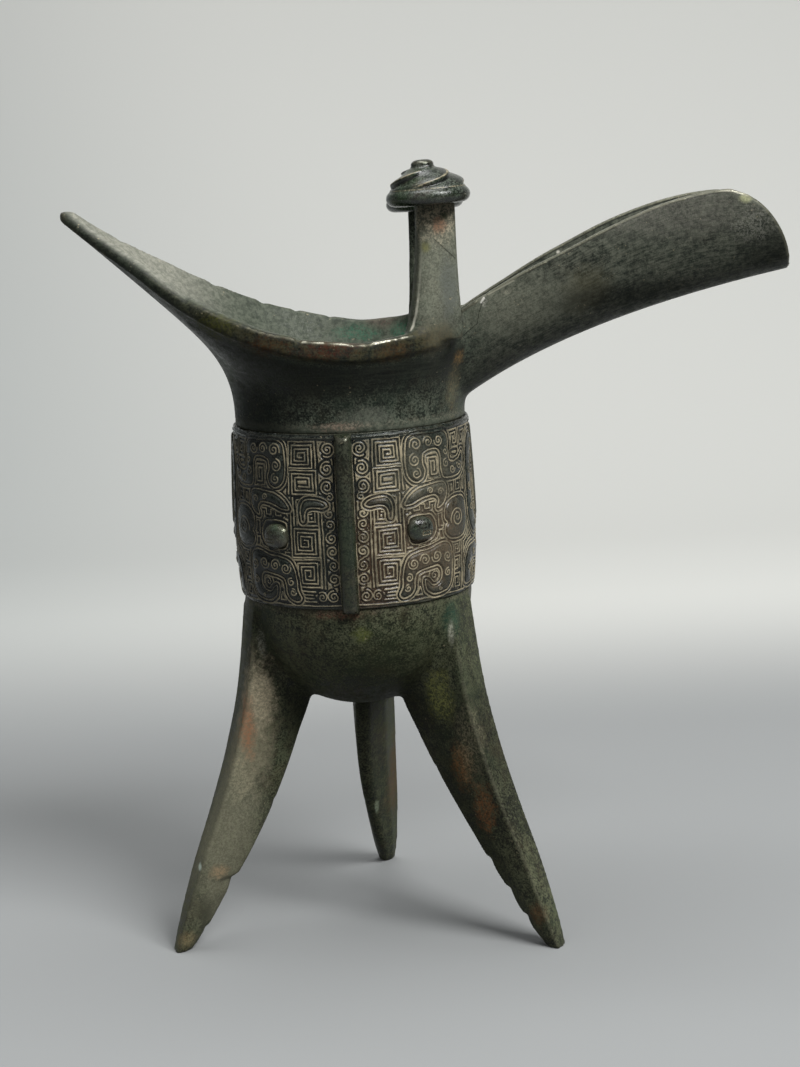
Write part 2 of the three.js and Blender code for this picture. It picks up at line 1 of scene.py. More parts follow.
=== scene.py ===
# %% [markdown]
# # A bronze jue, dressed for its portrait
# A jue is a small ritual wine cup: a deep cup on three blade legs, a flared mouth drawn out into a
# pouring spout and a pointed tail, two capped posts, a loop handle and a band of cast ornament.
# The solids already stand in the frame at their real size. This lesson gives each of them the
# surface that a cast, buried and cleaned bronze has. The first cell loads the frame.

# %% Load the frame
import math

import bmesh
import bpy
import numpy as np
from mathutils import Matrix, Vector


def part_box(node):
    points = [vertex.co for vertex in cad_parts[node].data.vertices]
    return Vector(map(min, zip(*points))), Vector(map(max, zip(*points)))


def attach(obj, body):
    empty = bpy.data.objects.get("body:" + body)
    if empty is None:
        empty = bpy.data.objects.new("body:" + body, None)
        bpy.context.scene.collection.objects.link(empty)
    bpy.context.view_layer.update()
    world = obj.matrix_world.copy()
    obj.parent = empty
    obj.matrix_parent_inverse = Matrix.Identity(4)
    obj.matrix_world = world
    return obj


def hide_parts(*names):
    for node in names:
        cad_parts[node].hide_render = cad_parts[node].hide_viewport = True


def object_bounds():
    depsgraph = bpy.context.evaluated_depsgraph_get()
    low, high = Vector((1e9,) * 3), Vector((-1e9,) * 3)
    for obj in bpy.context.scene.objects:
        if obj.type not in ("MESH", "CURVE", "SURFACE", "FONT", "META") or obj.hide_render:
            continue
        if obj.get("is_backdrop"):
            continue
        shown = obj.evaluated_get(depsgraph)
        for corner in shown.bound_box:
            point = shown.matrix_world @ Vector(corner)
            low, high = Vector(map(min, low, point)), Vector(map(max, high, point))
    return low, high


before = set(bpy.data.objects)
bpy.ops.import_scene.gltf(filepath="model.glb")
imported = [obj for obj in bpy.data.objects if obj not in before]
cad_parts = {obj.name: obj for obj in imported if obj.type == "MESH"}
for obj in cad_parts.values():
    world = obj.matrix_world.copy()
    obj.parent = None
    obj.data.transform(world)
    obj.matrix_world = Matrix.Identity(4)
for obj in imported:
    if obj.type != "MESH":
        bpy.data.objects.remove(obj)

cad_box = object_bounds()
print("solids in the frame:", len(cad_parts))

# %% [markdown]
# ## Measures taken from the frame
# Everything round the vessel is worked out in millimetres from the cup's upright axis, so the axis,
# the cup's radius and the heights of the band and the seam are read off the solids. The spout
# points along +X and the handle stands on the +Y side.

# %% Measures
MM = 0.001
cup_low, cup_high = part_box("cup")
AXIS = Vector(((cup_low.x + cup_high.x) / 2, (cup_low.y + cup_high.y) / 2, 0))
ridge_low, ridge_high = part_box("front_ridge")
GAP = 0.3
CUP_RADIUS = (cup_high.x - cup_low.x) / 2 / MM
CUP_BOTTOM = cup_low.z / MM
BAND_LOW = ridge_low.z / MM
BAND_TOP = ridge_high.z / MM
BAND_HEIGHT = BAND_TOP - BAND_LOW
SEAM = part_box("mouth")[0].z / MM - GAP
WALL = 2.8
HANDLE_SIDE = math.radians(87)
FRONT = HANDLE_SIDE + math.pi
print(f"cup radius {CUP_RADIUS:.1f} mm, band {BAND_LOW:.1f} to {BAND_TOP:.1f} mm, seam {SEAM:.1f} mm")

# %% [markdown]
# ## Turning a mesh into a piece
# Each piece is shaped in millimetres round the axis. When it is done, its doubled points are
# merged, its faces are turned outwards and it is brought to its place in metres. It then rides on
# the vessel's one body and stands for the solids that it covers.

# %% Finishing a piece
WELD = 1e-4
pieces = {}


def closed(bm):
    """Merges doubled points and turns the faces outwards."""
    bmesh.ops.remove_doubles(bm, verts=bm.verts, dist=WELD)
    bmesh.ops.recalc_face_normals(bm, faces=bm.faces)
    return bm


def as_object(bm, name):
    """The bmesh as an object of the scene."""
    mesh = bpy.data.meshes.new(name)
    bm.to_mesh(mesh)
    bm.free()
    made = bpy.data.objects.new(name, mesh)
    bpy.context.scene.collection.objects.link(made)
    return made


def placed(bm, name):
    """Brings a piece from millimetres round the axis to its place in metres."""
    bmesh.ops.transform(bm, matrix=Matrix.Translation(AXIS) @ Matrix.Scale(MM, 4), verts=bm.verts)
    return as_object(bm, name)


def dressed(made, nodes):
    """The finished object stands for these solids."""
    made.data.shade_smooth()
    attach(made, "root")
    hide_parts(*nodes)
    pieces[made.name] = made
    triangles = sum(len(face.vertices) - 2 for face in made.data.polygons)
    print(f"{made.name}: {triangles} triangles for {', '.join(nodes)}")
    return made


# %% [markdown]
# ## Skins from a bent grid
# Most of the vessel is a skin that runs round something: the wall round the mouth, the trough round
# its channel, the strap round its core. A flat grid is the easiest start for all of them. Each of
# its points is moved to where a formula puts that share along and that share across. Where two
# edges of the grid meet they are welded, and an open end is filled.

# %% Bent grids
def grid_points(bm, along, across):
    """Adds a flat grid and gives each of its points with its number along and across."""
    for point in bmesh.ops.create_grid(bm, x_segments=along, y_segments=across, size=0.5)["verts"]:
        yield point, round((point.co.x + 0.5) * along), round((point.co.y + 0.5) * across)


def bent_grid(along, across, place):
    """A grid with its point (i, j) moved to place(i / along, j / across)."""
    bm = bmesh.new()
    for point, i, j in grid_points(bm, along, across):
        point.co = place(i / along, j / across)
    return closed(bm)


def closed_skin(name, along, across, place):
    """A bent grid whose sides meet, with its open ends filled, as an object."""
    bm = bent_grid(along, across, place)
    bmesh.ops.holes_fill(bm, edges=bm.edges, sides=0)
    return placed(closed(bm), name)


def bezier(points, count):
    """Points of a Bezier curve with 3 or 4 handles."""
    share = np.linspace(0, 1, count)[:, None]
    degree = len(points) - 1
    return sum(
        math.comb(degree, k) * share**k * (1 - share) ** (degree - k) * np.array(p, float)
        for k, p in enumerate(points)
    )


def flowing(points, steps, loop=False):
    """A smooth curve through the points (centripetal Catmull-Rom), with steps for each stretch."""
    points = np.array(points, float)
    count = len(points)
    out = []
    for i in range(count if loop else count - 1):
        if loop:
            a, b, c, d = (points[(i + k) % count] for k in (-1, 0, 1, 2))
        else:
            b, c = points[i], points[i + 1]
            a = points[i - 1] if i else 2 * b - c
            d = points[i + 2] if i + 2 < count else 2 * c - b
        ta, tb, tc = (max(np.linalg.norm(q - p) ** 0.5, 1e-6) for p, q in ((a, b), (b, c), (c, d)))
        lead = ((b - a) / ta - (c - a) / (ta + tb) + (c - b) / tb) * tb
        leave = ((c - b) / tb - (d - b) / (tb + tc) + (d - c) / tc) * tb
        s = np.linspace(0, 1, steps, endpoint=False)[:, None]
        out.append(b + lead * s + (3 * (c - b) - 2 * lead - leave) * s**2 + (2 * (b - c) + lead + leave) * s**3)
    out = np.concatenate(out)
    return out if loop else np.vstack([out, points[-1]])


def evenly(points, count, loop=False):
    """The same line with its points evenly spaced."""
    line = np.vstack([points, points[:1]]) if loop else points
    run = np.concatenate([[0], np.cumsum(np.linalg.norm(np.diff(line, axis=0), axis=1))])
    marks = np.linspace(0, run[-1], count, endpoint=not loop)
    return np.stack([np.interp(marks, run, line[:, k]) for k in range(line.shape[1])], axis=1)


# %% [markdown]
# ## Joining castings
# A jue is one pour of metal, so the spout grows out of the mouth and a leg out of the bowl with a
# soft inner corner. Pieces could be joined with a boolean and a bevel along the seam, but that seam
# is a wandering curve. A voxel remesh melts overlapping skins into one, and a few rounds of
# smoothing then soften only the inner corners. Cutters are still plain booleans.

# %% Cutting and melting together
def settled(made):
    """Makes the object's modifiers part of its mesh."""
    graph = bpy.context.evaluated_depsgraph_get()
    mesh = bpy.data.meshes.new_from_object(made.evaluated_get(graph))
    made.modifiers.clear()
    made.data = mesh
    return made


def cut(made, cutter):
    """Takes the cutter's form out of the object."""
    step = made.modifiers.new("cut", "BOOLEAN")
    step.operation = "DIFFERENCE"
    step.solver = "EXACT"
    step.object = cutter
    return settled(made)


def melted(parts, name, voxel):
    """Joins overlapping closed skins into one cast skin."""
    bm = bmesh.new()
    for part in parts:
        bm.from_mesh(part.data)
        bpy.data.objects.remove(part)
    made = as_object(bm, name)
    step = made.modifiers.new("melt", "REMESH")
    step.mode = "VOXEL"
    step.voxel_size = voxel * MM
    return settled(made)


def eased(made, rounds):
    """Smooths the whole skin a little."""
    bm = bmesh.new()
    bm.from_mesh(made.data)
    for _ in range(rounds):
        bmesh.ops.smooth_vert(
            bm, verts=bm.verts, factor=0.5, use_axis_x=True, use_axis_y=True, use_axis_z=True)
    bm.to_mesh(made.data)
    bm.free()
    return made


class Skin:
    """A mesh's points in millimetres from the axis, with the means of their neighbours."""

    def __init__(self, made):
        self.mesh = made.data
        count = len(self.mesh.vertices)
        self.place = np.empty(count * 3)
        self.mesh.vertices.foreach_get("co", self.place)
        self.place = (self.place.reshape(-1, 3) - np.array(AXIS)) / MM
        ends = np.empty(len(self.mesh.edges) * 2, int)
        self.mesh.edges.foreach_get("vertices", ends)
        self.ends = ends.reshape(-1, 2)
        self.ways = np.maximum(np.bincount(ends, minlength=count), 1)

    def facing(self):
        """The outward direction at each point."""
        normals = np.empty(len(self.place) * 3)
        self.mesh.vertices.foreach_get("normal", normals)
        return normals.reshape(-1, 3)

    def neighbours(self, values):
        """The mean of the neighbours' values, a number or a row for each point."""
        a, b = self.ends.T
        columns = values.reshape(len(values), -1).T
        size = len(values)
        sums = [np.bincount(a, column[b], size) + np.bincount(b, column[a], size) for column in columns]
        return (np.stack(sums, axis=1) / self.ways[:, None]).reshape(values.shape)

    def spread(self, values, rounds):
        """Blurs the values over the skin."""
        for _ in range(rounds):
            values = (values + self.neighbours(values)) / 2
        return values

    def bulge(self):
        """How sharply the skin turns, in 1/mm: above 0 on an outer edge, below 0 in a corner."""
        a, b = self.ends.T
        step = self.place[b] - self.place[a]
        length = np.maximum((step**2).sum(axis=1), 1e-6)
        facing = self.facing()
        turn = np.bincount(a, -2 * (step * facing[a]).sum(axis=1) / length, len(self.place))
        turn += np.bincount(b, 2 * (step * facing[b]).sum(axis=1) / length, len(self.place))
        return turn / self.ways

    def move_to(self, place):
        self.place = place
        self.mesh.vertices.foreach_set("co", (place * MM + np.array(AXIS)).ravel())
        self.mesh.update()

    def keep(self, name, values):
        """Stores a number at each point, for the finish to read."""
        kept = self.mesh.attributes.new(name, "FLOAT", "POINT")
        kept.data.foreach_set("value", np.asarray(values, np.float32))


FILL_STEP = 0.9


def filleted(made, rounds, chosen):
    """Fills inner corners: chosen points move towards their neighbours, but only outwards."""
    skin = Skin(made)
    picked = chosen(*skin.place.T)
    for _ in range(rounds):
        facing = skin.facing()
        step = skin.neighbours(skin.place) - skin.place
        outward = np.maximum((step * facing).sum(axis=1), 0) * picked
        skin.move_to(skin.place + FILL_STEP * outward[:, None] * facing)
    return made


# %% [markdown]
# ## The flared mouth
# From the seam above the band the wall rises straight and then sweeps out to the rim, wide at the
# sides and drawn out to the tail. The rim's outer edge is one smooth loop through a few measured
# points, each a distance along the spout, a half width and the rises of the near and the far rim
# above the seam, because a hand-made rim isn't quite even. At every place on that loop the wall is
# a section that climbs outside, turns over the thick lip and drops inside. Towards the spout the
# lip fades into the spout's side.

# %% The rim's loop
RIM = [
    (-72, 0, 54.7, 54.7), (-64, 7.6, 48.7, 48.9), (-54, 15, 42.3, 42.5), (-42, 23.4, 34.1, 35.6),
    (-28, 31, 27.4, 29), (-13, 35.6, 23.1, 24.1), (2, 36, 21.2, 21.5), (12, 33, 21.6, 21.6),
    (20, 29.4, 22.6, 22.8), (26, 23.8, 23.3, 24.2), (30, 16, 24.2, 25.6), (32, 0, 26, 26),
]
LIP_HEIGHT = 5.2
LIP_HEIGHT_AT_TAIL = 2.8
LIP_THICKNESS = 3.4
LIP_OVERHANG = 1.2
NECK_FOOT = BAND_TOP - 0.5
RIM_PLACES = 240

rim_loop = [(x, y, SEAM + far_rise) for x, y, near_rise, far_rise in RIM]
rim_loop += [(x, -y, SEAM + near_rise) for x, y, near_rise, far_rise in reversed(RIM[1:-1])]
rim = evenly(flowing(rim_loop, 40, loop=True), RIM_PLACES, loop=True)
rim_bearing = np.arctan2(rim[:, 1], rim[:, 0])
rim_reach = np.hypot(rim[:, 0], rim[:, 1])
by_bearing = np.argsort(rim_bearing)


def rim_at(bearing):
    """Reach and height of the rim's outer edge in a direction."""
    turn = rim_bearing[by_bearing]
    reach = np.interp(bearing, turn, rim_reach[by_bearing], period=2 * math.pi)
    height = np.interp(bearing, turn, rim[by_bearing, 2], period=2 * math.pi)
    return reach, height


print(f"rim {rim[:, 0].min():.0f} to {rim[:, 0].max():.0f} mm long, {2 * rim[:, 1].max():.0f} mm wide")


# %% The wall's section
def step_between(value, low, high):
    """Rises smoothly from 0 to 1 between two values, for whole arrays."""
    share = np.clip((value - low) / (high - low), 0, 1)
    return share * share * (3 - 2 * share)


def smooth_share(value, low, high):
    """The same for one number, and much quicker."""
    share = min(max((value - low) / (high - low), 0), 1)
    return share * share * (3 - 2 * share)


WALL_STEPS = 18
NECK_UPRIGHT = 17
FLARE_OUT = 0.24
FLARE_UP = 0.46


def wall_line(neck, reach, top):
    """One side of the wall: upright at the neck, then sweeping out to the rim."""
    rise = top - SEAM
    line = bezier(
        [(neck, SEAM + GAP), (neck, SEAM + min(NECK_UPRIGHT, rise * 0.5)),
         (neck + (reach - neck) * FLARE_OUT, SEAM + rise * FLARE_UP), (reach, top)], WALL_STEPS)
    return np.vstack([[neck, NECK_FOOT], line])


LIP_UNDERSIDE = 0.6
LIP_ROUND = 0.4
TAIL_BEGINS = 10
LIP_FADES = (23, 30)


def wall_section(edge):
    """The closed section at a point of the rim, as (distance from the axis, height)."""
    reach = math.hypot(edge[0], edge[1])
    top = edge[2]
    towards_tail = smooth_share(-edge[0], TAIL_BEGINS, -RIM[0][0])
    lip = LIP_HEIGHT + (LIP_HEIGHT_AT_TAIL - LIP_HEIGHT) * towards_tail
    overhang = LIP_OVERHANG * (1 - smooth_share(edge[0], *LIP_FADES))
    outside = wall_line(CUP_RADIUS, reach - overhang, top - lip)
    inside = wall_line(CUP_RADIUS - WALL, reach - LIP_THICKNESS, top)
    lip_face = [[reach, top - lip + LIP_UNDERSIDE], [reach, top - LIP_ROUND], [reach - LIP_ROUND, top]]
    return np.vstack([outside, lip_face, inside[::-1]])


sections = [wall_section(edge) for edge in rim]
SECTION_PLACES = len(sections[0])


def mouth_point(around, across):
    i = round(around * RIM_PLACES) % RIM_PLACES
    distance, height = sections[i][round(across * SECTION_PLACES) % SECTION_PLACES]
    bearing = rim_bearing[i]
    return Vector((distance * math.cos(bearing), distance * math.sin(bearing), height))


mouth_skin = closed_skin("mouth_skin", RIM_PLACES, SECTION_PLACES, mouth_point)
print("mouth wall:", len(mouth_skin.data.vertices), "points")

# %% [markdown]
# ## The spout
# The spout is an open trough. Its keel and its two edges are simple curves seen from the side, and
# between them the section is a soft U. The far end is cut to a rounded bill. An open sheet bent to
# that shape, thickened inwards, gives an even cast wall with the lines running along the metal.

# %% The spout's lines
SPOUT_ROOT_HALF_WIDTH = 16.5
SPOUT_END_HALF_WIDTH = 13.8
SPOUT_REACH = 114.3
SPOUT_WALL = 2.6
KEEL = [(28.1, SEAM + 1.5), (56.1, SEAM + 21.2), (SPOUT_REACH, SEAM + 32.2)]
SPOUT_EDGE = [(29, SEAM + 25.5), (75, SEAM + 53.1), (100, SEAM + 52.6)]
BILL = bezier(
    [(SPOUT_REACH - 17, SEAM + 53.6), (SPOUT_REACH - 7, SEAM + 52), (SPOUT_REACH - 1.6, SEAM + 42.4),
     (SPOUT_REACH + 0.3, SEAM + 31.8)], 60)


def height_at(line, x):
    """Height of a three-point curve at a distance along the spout, also past its ends."""
    (x0, z0), (x1, z1), (x2, z2) = line
    a = x0 - 2 * x1 + x2
    b = 2 * (x1 - x0)
    t = (x - x0) / b if abs(a) < 1e-9 else (math.sqrt(b * b - 4 * a * (x0 - x)) - b) / (2 * a)
    return (1 - t) ** 2 * z0 + 2 * t * (1 - t) * z1 + t * t * z2


# How far each hand-finished edge lies above the even curve, at distances along the spout
NEAR_EDGE_SHIFT = [
    (18, -5), (25, -2), (29.5, 0.4), (36, 0.5), (44, 0.4), (56, -0.2), (68, 0.1), (80, 0.6), (92, 0.8), (120, 0.8),
]
FAR_EDGE_SHIFT = [
    (18, -3), (30, -1.7), (36, -1.4), (43, -1.2), (51, -0.8), (60, -0.6), (68, -0.2), (78, 0), (120, 0.1),
]
near_shift, far_shift = (
    np.array([tuple(k)[:2] for k in flowing(line, 8)]) for line in (NEAR_EDGE_SHIFT, FAR_EDGE_SHIFT)
)
FAR_BILL_SHORT = 1.2
SIDE_FULLNESS = 0.85


def spout_section(x, angle, inset=0):
    """A point of the trough's skin at a distance along it and an angle across it."""
    along = (x - KEEL[0][0]) / (SPOUT_REACH - KEEL[0][0])
    half = SPOUT_ROOT_HALF_WIDTH + (SPOUT_END_HALF_WIDTH - SPOUT_ROOT_HALF_WIDTH) * along - inset
    low = height_at(KEEL, x) + inset
    high = height_at(SPOUT_EDGE, x)
    shift = near_shift if angle < 0 else far_shift
    high += np.interp(x, shift[:, 0], shift[:, 1]) * math.sin(angle) ** 2
    side = math.copysign(abs(math.sin(angle)) ** SIDE_FULLNESS, angle)
    return Vector((x, half * side, low + (high - low) * (1 - math.cos(angle))))


def bill_at(angle):
    """How far the trough reaches at an angle across it."""
    x = SPOUT_REACH
    for _ in range(12):
        x += 0.5 * (np.interp(-spout_section(x, angle).z, -BILL[:, 1], BILL[:, 0]) - x)
    return x - FAR_BILL_SHORT * max(math.sin(angle), 0) ** 2


# %% The trough and the channel through the wall
TROUGH_START = 24.5
TROUGH_STEPS = 150
TROUGH_SIDES = 48
bill_reach = [bill_at(math.pi * (j / TROUGH_SIDES - 0.5)) for j in range(TROUGH_SIDES + 1)]


def trough_point(along, across):
    angle = math.pi * (across - 0.5)
    reach = bill_reach[round(across * TROUGH_SIDES)]
    return spout_section(TROUGH_START + (reach - TROUGH_START) * along, angle)


bm = bent_grid(TROUGH_STEPS, TROUGH_SIDES, trough_point)
if sum(face.normal.z for face in bm.faces) > 0:
    bmesh.ops.reverse_faces(bm, faces=bm.faces)
bmesh.ops.solidify(bm, geom=bm.faces[:], thickness=SPOUT_WALL)
spout_skin = placed(closed(bm), "spout_skin")

CHANNEL_START = 12
CHANNEL_END = SPOUT_REACH + 6
CHANNEL_STEPS = 40
CHANNEL_SIDES = 26
CHANNEL_ROUND = CHANNEL_SIDES - 4
CHANNEL_RISE = 30


def channel_point(along, across):
    """The channel's cutter: the trough's inside, carried straight up above its edges."""
    x = CHANNEL_START + (CHANNEL_END - CHANNEL_START) * along
    place = round(across * CHANNEL_SIDES) % CHANNEL_SIDES
    if place <= CHANNEL_ROUND:
        return spout_section(x, math.pi * (place / CHANNEL_ROUND - 0.5), SPOUT_WALL)
    edge = spout_section(x, math.pi / 2, SPOUT_WALL)
    return Vector((x, edge.y * (CHANNEL_ROUND + 2 - place), edge.z + CHANNEL_RISE))


channel = closed_skin("channel", CHANNEL_STEPS, CHANNEL_SIDES, channel_point)
print(f"spout reaches {max(bill_reach):.1f} mm from the axis")


# %% The hollow of the mouth
HOLLOW_LEVELS = WALL_STEPS + 3
HOLLOW_DEEPER = 5
HOLLOW_RISE = 25
HOLLOW_TOP = SEAM + 90


def hollow_point(around, across):
    """The mouth's cutter: its inside, carried on upwards and closed above and below."""
    i = round(around * RIM_PLACES) % RIM_PLACES
    level = round(across * HOLLOW_LEVELS)
    bearing = rim_bearing[i]
    inside = wall_line(CUP_RADIUS - WALL, math.hypot(*rim[i][:2]) - LIP_THICKNESS, rim[i][2])
    if level == 0:
        return Vector((0, 0, NECK_FOOT - HOLLOW_DEEPER))
    if level == HOLLOW_LEVELS:
        return Vector((0, 0, HOLLOW_TOP))
    if level == HOLLOW_LEVELS - 1:
        distance, height = inside[-1][0], inside[-1][1] + HOLLOW_RISE
    else:
        distance, height = inside[level - 1]
        height -= HOLLOW_DEEPER if level == 1 else 0
    return Vector((distance * math.cos(bearing), distance * math.sin(bearing), height))


hollow = closed_skin("hollow", RIM_PLACES, HOLLOW_LEVELS, hollow_point)
cut(spout_skin, hollow)
cut(mouth_skin, channel)
bpy.data.objects.remove(channel)
bpy.data.objects.remove(hollow)

# %% [markdown]
# ## The two posts
# The posts rise from the rim beside the spout. Each is a flat bar with soft arrises that spreads
# towards the tail where it meets the lip, and its outer face is flush with the lip's. The far one
# stands a little nearer the tail and is a little lower.

# %% The posts
POST_Y = 25
POST_WIDTH = 9.7
POST_DEPTH = 5.4
POST_YAW = math.radians(14)
POST_INTO_CAP = 0.6
POST_SQUARENESS = 0.42
FAR_POST_SPREAD = 0.3
post_tops = {"near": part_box("near_cap")[0].z / MM, "far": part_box("far_cap")[0].z / MM}
post_stands = {"near": (23.7, -1), "far": (22.6, 1)}
post_corners = {}
POST_LEVELS = [
    (20, 15.6, 3.6), (22, 14.8, 4.0), (24, 13.8, 4.8), (26.5, 12.9, 5.3), (29, 12.2, 5.4), (34, 11.2, 5.4),
    (40, 10.3, 5.4), (46, 9.9, 5.4),
]
POST_LEAN = 0.3
POST_SIDES = 40
POST_STEPS = 60
CORNER_SHARE = 0.44
FOOT_MELT = 13
FOOT_OVERHANG = 2.2
FREE_SIDE = 4


def post_skin(which):
    """A flat bar that spreads towards the tail at its foot and stays within the lip there."""
    x, side = post_stands[which]
    spread = 1 if which == "near" else FAR_POST_SPREAD
    levels = [
        (SEAM + rise, POST_WIDTH + spread * (width - POST_WIDTH), depth) for rise, width, depth in POST_LEVELS]
    levels.append((post_tops[which] + POST_INTO_CAP, POST_WIDTH, POST_DEPTH))
    levels = evenly(flowing(levels, 12), POST_STEPS + 1)
    turn = Matrix.Rotation(-side * POST_YAW, 3, "Z")

    def bar_point(level, across, deep):
        height, width, depth = level
        middle = POST_LEAN * (POST_WIDTH - width)
        return turn @ Vector((middle + across * width, deep * depth, 0)) + Vector((x, side * POST_Y, height))

    post_corners[which] = np.array([bar_point(level, -CORNER_SHARE, side * CORNER_SHARE) for level in levels])

    def point(around, across):
        angle = 2 * math.pi * around
        square = [math.copysign(abs(f(angle)) ** POST_SQUARENESS, f(angle)) for f in (math.cos, math.sin)]
        at = bar_point(levels[round(across * POST_STEPS)], square[0] / 2, square[1] / 2)
        reach, rim_height = rim_at(math.atan2(at.y, at.x))
        melt = smooth_share(at.z, rim_height - 1, rim_height + FOOT_MELT)
        limit = reach - 0.1 + FOOT_OVERHANG * melt + FREE_SIDE * max(0, square[0])
        share = min(1, limit / math.hypot(at.x, at.y))
        return Vector((at.x * share, at.y * share, at.z))

    return closed_skin(which + "_post_skin", POST_SIDES, POST_STEPS, point)


skins = [mouth_skin, spout_skin, post_skin("near"), post_skin("far")]

# %% [markdown]
# ## One casting above the band
# The wall, the spout and the posts are melted together. The inner corners where the posts stand on
# the lip and where the spout leaves the neck are then softened, as a founder's wax model is.

# %% Melting the upper part together
UPPER_VOXEL = 0.56
POST_FOOT = (21, POST_Y, SEAM + 25.5)
POST_FOOT_REACH = (12, 7, 6)
SPOUT_ROOT = (20, 42, SEAM + 30)
ROOT_ROUNDS = 26
upper = melted(skins, "mouth_spout_and_posts", UPPER_VOXEL)


def near_root(x, y, z):
    """1 close to the posts' feet and to the spout's root, else 0."""
    away = [np.abs(place - middle) for place, middle in zip((x, np.abs(y), z), POST_FOOT)]
    at_foot = np.all([apart < reach for apart, reach in zip(away, POST_FOOT_REACH)], axis=0)
    start, end, top = SPOUT_ROOT
    return (at_foot | ((x > start) & (x < end) & (z < top))).astype(float)


filleted(upper, ROOT_ROUNDS, near_root)
eased(upper, 3)

# %% Wear on the rim
# Each nick: place along the rim, side, half width and depth
RIM_NICKS = [
    (-35.4, 1, 1.3, 0.55), (-23, 1, 1.1, 0.5), (-14.2, 1, 0.8, 0.45), (-39, -1, 1.3, 0.45), (-11.3, -1, 0.9, 0.5),
    (-58, 1, 1.0, 0.3), (-5, 1, 0.8, 0.3),
]
NICKED_TO = 19
WORN_STEP = 0.35
WORN_FROM, WORN_TO = (-12.4, -10.6), (6, 15)
UNEVEN = 0.12


def worn_rim(made):
    """Nicks the rim's top edge, lets its worn part sink a little, and makes it gently uneven."""
    skin = Skin(made)
    x, y, z = skin.place.T
    reach, top = rim_at(np.arctan2(y, x))
    near_rim = np.abs(np.hypot(x, y) - reach + 2) < 4
    on_rim = step_between(z - top + 3.2, 0, 2.6) * near_rim * (x < NICKED_TO)
    sunk = UNEVEN * (np.sin(x * 0.42) * np.sin(x * 0.13 + 1) + np.sin(x * 0.21 + np.sign(y)))
    for place, side, half, depth in RIM_NICKS:
        sunk += depth * np.exp(-(((x - place) / half) ** 2)) * (np.sign(y) == side)
    sunk += WORN_STEP * step_between(x, *WORN_FROM) * (1 - step_between(x, *WORN_TO)) * (y < 0)
    skin.move_to(skin.place - np.stack([0 * z, 0 * z, sunk * on_rim], axis=1))
    print(f"{len(RIM_NICKS)} nicks in the rim")


worn_rim(upper)
dressed(upper, ["mouth", "tail", "spout", "near_post", "far_post"])

# %% [markdown]
# ## The bowl and its three legs
# Below the band the cup closes in a half-round bowl, and three blade legs splay out of its flank.
# A leg has a flat outer face with two sharp arrises and draws in to a thin inner edge, chipped by
# wear. The bowl is a profile spun round the axis, a leg is a bent grid, and the four are melted
# together so that the legs grow out of the bowl with a hollow corner.

# %% The bowl
BOWL_TOP = BAND_LOW + 4
BOWL_STEPS = 40
LATHE_STEPS = 200


def bowl_line(radius, bottom):
    """The quarter ellipse from the axis out to the upright wall."""
    angle = np.linspace(0, math.pi / 2, BOWL_STEPS)
    return np.stack([radius * np.sin(angle), BAND_LOW - (BAND_LOW - bottom) * np.cos(angle)], axis=1)


def spun(profile, name):
    """A profile of (radius, height) spun round the axis."""
    bm = bmesh.new()
    ring = [bm.verts.new((radius, 0, height)) for radius, height in profile]
    edges = [bm.edges.new((a, b)) for a, b in zip(ring, ring[1:])]
    if profile[0][0] > 0:
        edges.append(bm.edges.new((ring[-1], ring[0])))
    bmesh.ops.spin(
        bm, geom=ring + edges, cent=(0, 0, 0), axis=(0, 0, 1), dvec=(0, 0, 0),
        angle=2 * math.pi, steps=LATHE_STEPS, use_merge=True,
    )
    return placed(closed(bm), name)


BED_RADIUS = CUP_RADIUS - 0.4
CUP_INSIDE = CUP_RADIUS - WALL
CORE_TOP = 110
bowl_outside = bowl_line(CUP_RADIUS, CUP_BOTTOM).tolist() + [[BED_RADIUS, BAND_LOW + 1], [BED_RADIUS, BOWL_TOP]]
bowl_inside = [[CUP_INSIDE, BOWL_TOP]] + bowl_line(CUP_INSIDE, CUP_BOTTOM + WALL)[::-1].tolist()
bowl_skin = spun(bowl_outside + bowl_inside, "bowl_skin")
core_line = bowl_line(CUP_RADIUS - WALL / 2, CUP_BOTTOM + WALL / 2).tolist()
core = spun(core_line + [[CUP_RADIUS - 1, CORE_TOP], [0, CORE_TOP]], "core")
cup_wall = spun(
    [[CUP_INSIDE, BOWL_TOP], [BED_RADIUS, BOWL_TOP], [BED_RADIUS, NECK_FOOT], [CUP_INSIDE, NECK_FOOT]], "cup_wall")
dressed(cup_wall, ["cup"])

# %% The legs
LEG_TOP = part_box("rear_leg")[1].z / MM
LEG_FOOT_RADIUS = 55.2
LEG_TOP_WIDTH = 12.5
LEG_FOOT_WIDTH = 5
# Share of the height, how far the outer face draws in, reach of the thin edge, and widening
LEG_LINES = [
    (0, 0, 50.5, 0), (0.06, 1.6, 46, 0.25), (0.15, 4.2, 40.7, 0.45), (0.27, 8, 33.3, 0.62),
    (0.42, 13.2, 25.8, 0.76), (0.6, 18.6, 18.8, 0.9), (0.8, 22.8, 13, 1), (1, 25.2, 12.5, 1),
]
LEG_STEPS = 170
LEG_SIDES = 54
# Direction in degrees, lean and fullness of the thin edge, and its chips: height, depth and length
LEGS = {
    "rear_leg": (86.4, 4, 0, [(24, 0.7, 5)]),
    "tail_side_leg": (196.6, 0, 0, [(19, 1.7, 5.5), (39, 0.5, 3), (6, 0.8, 4)]),
    "spout_side_leg": (332.8, 0, 3, [(22.5, 1.0, 4.5), (15, 1.0, 4.5), (8.2, 1.3, 4), (46, 0.3, 3)]),
}


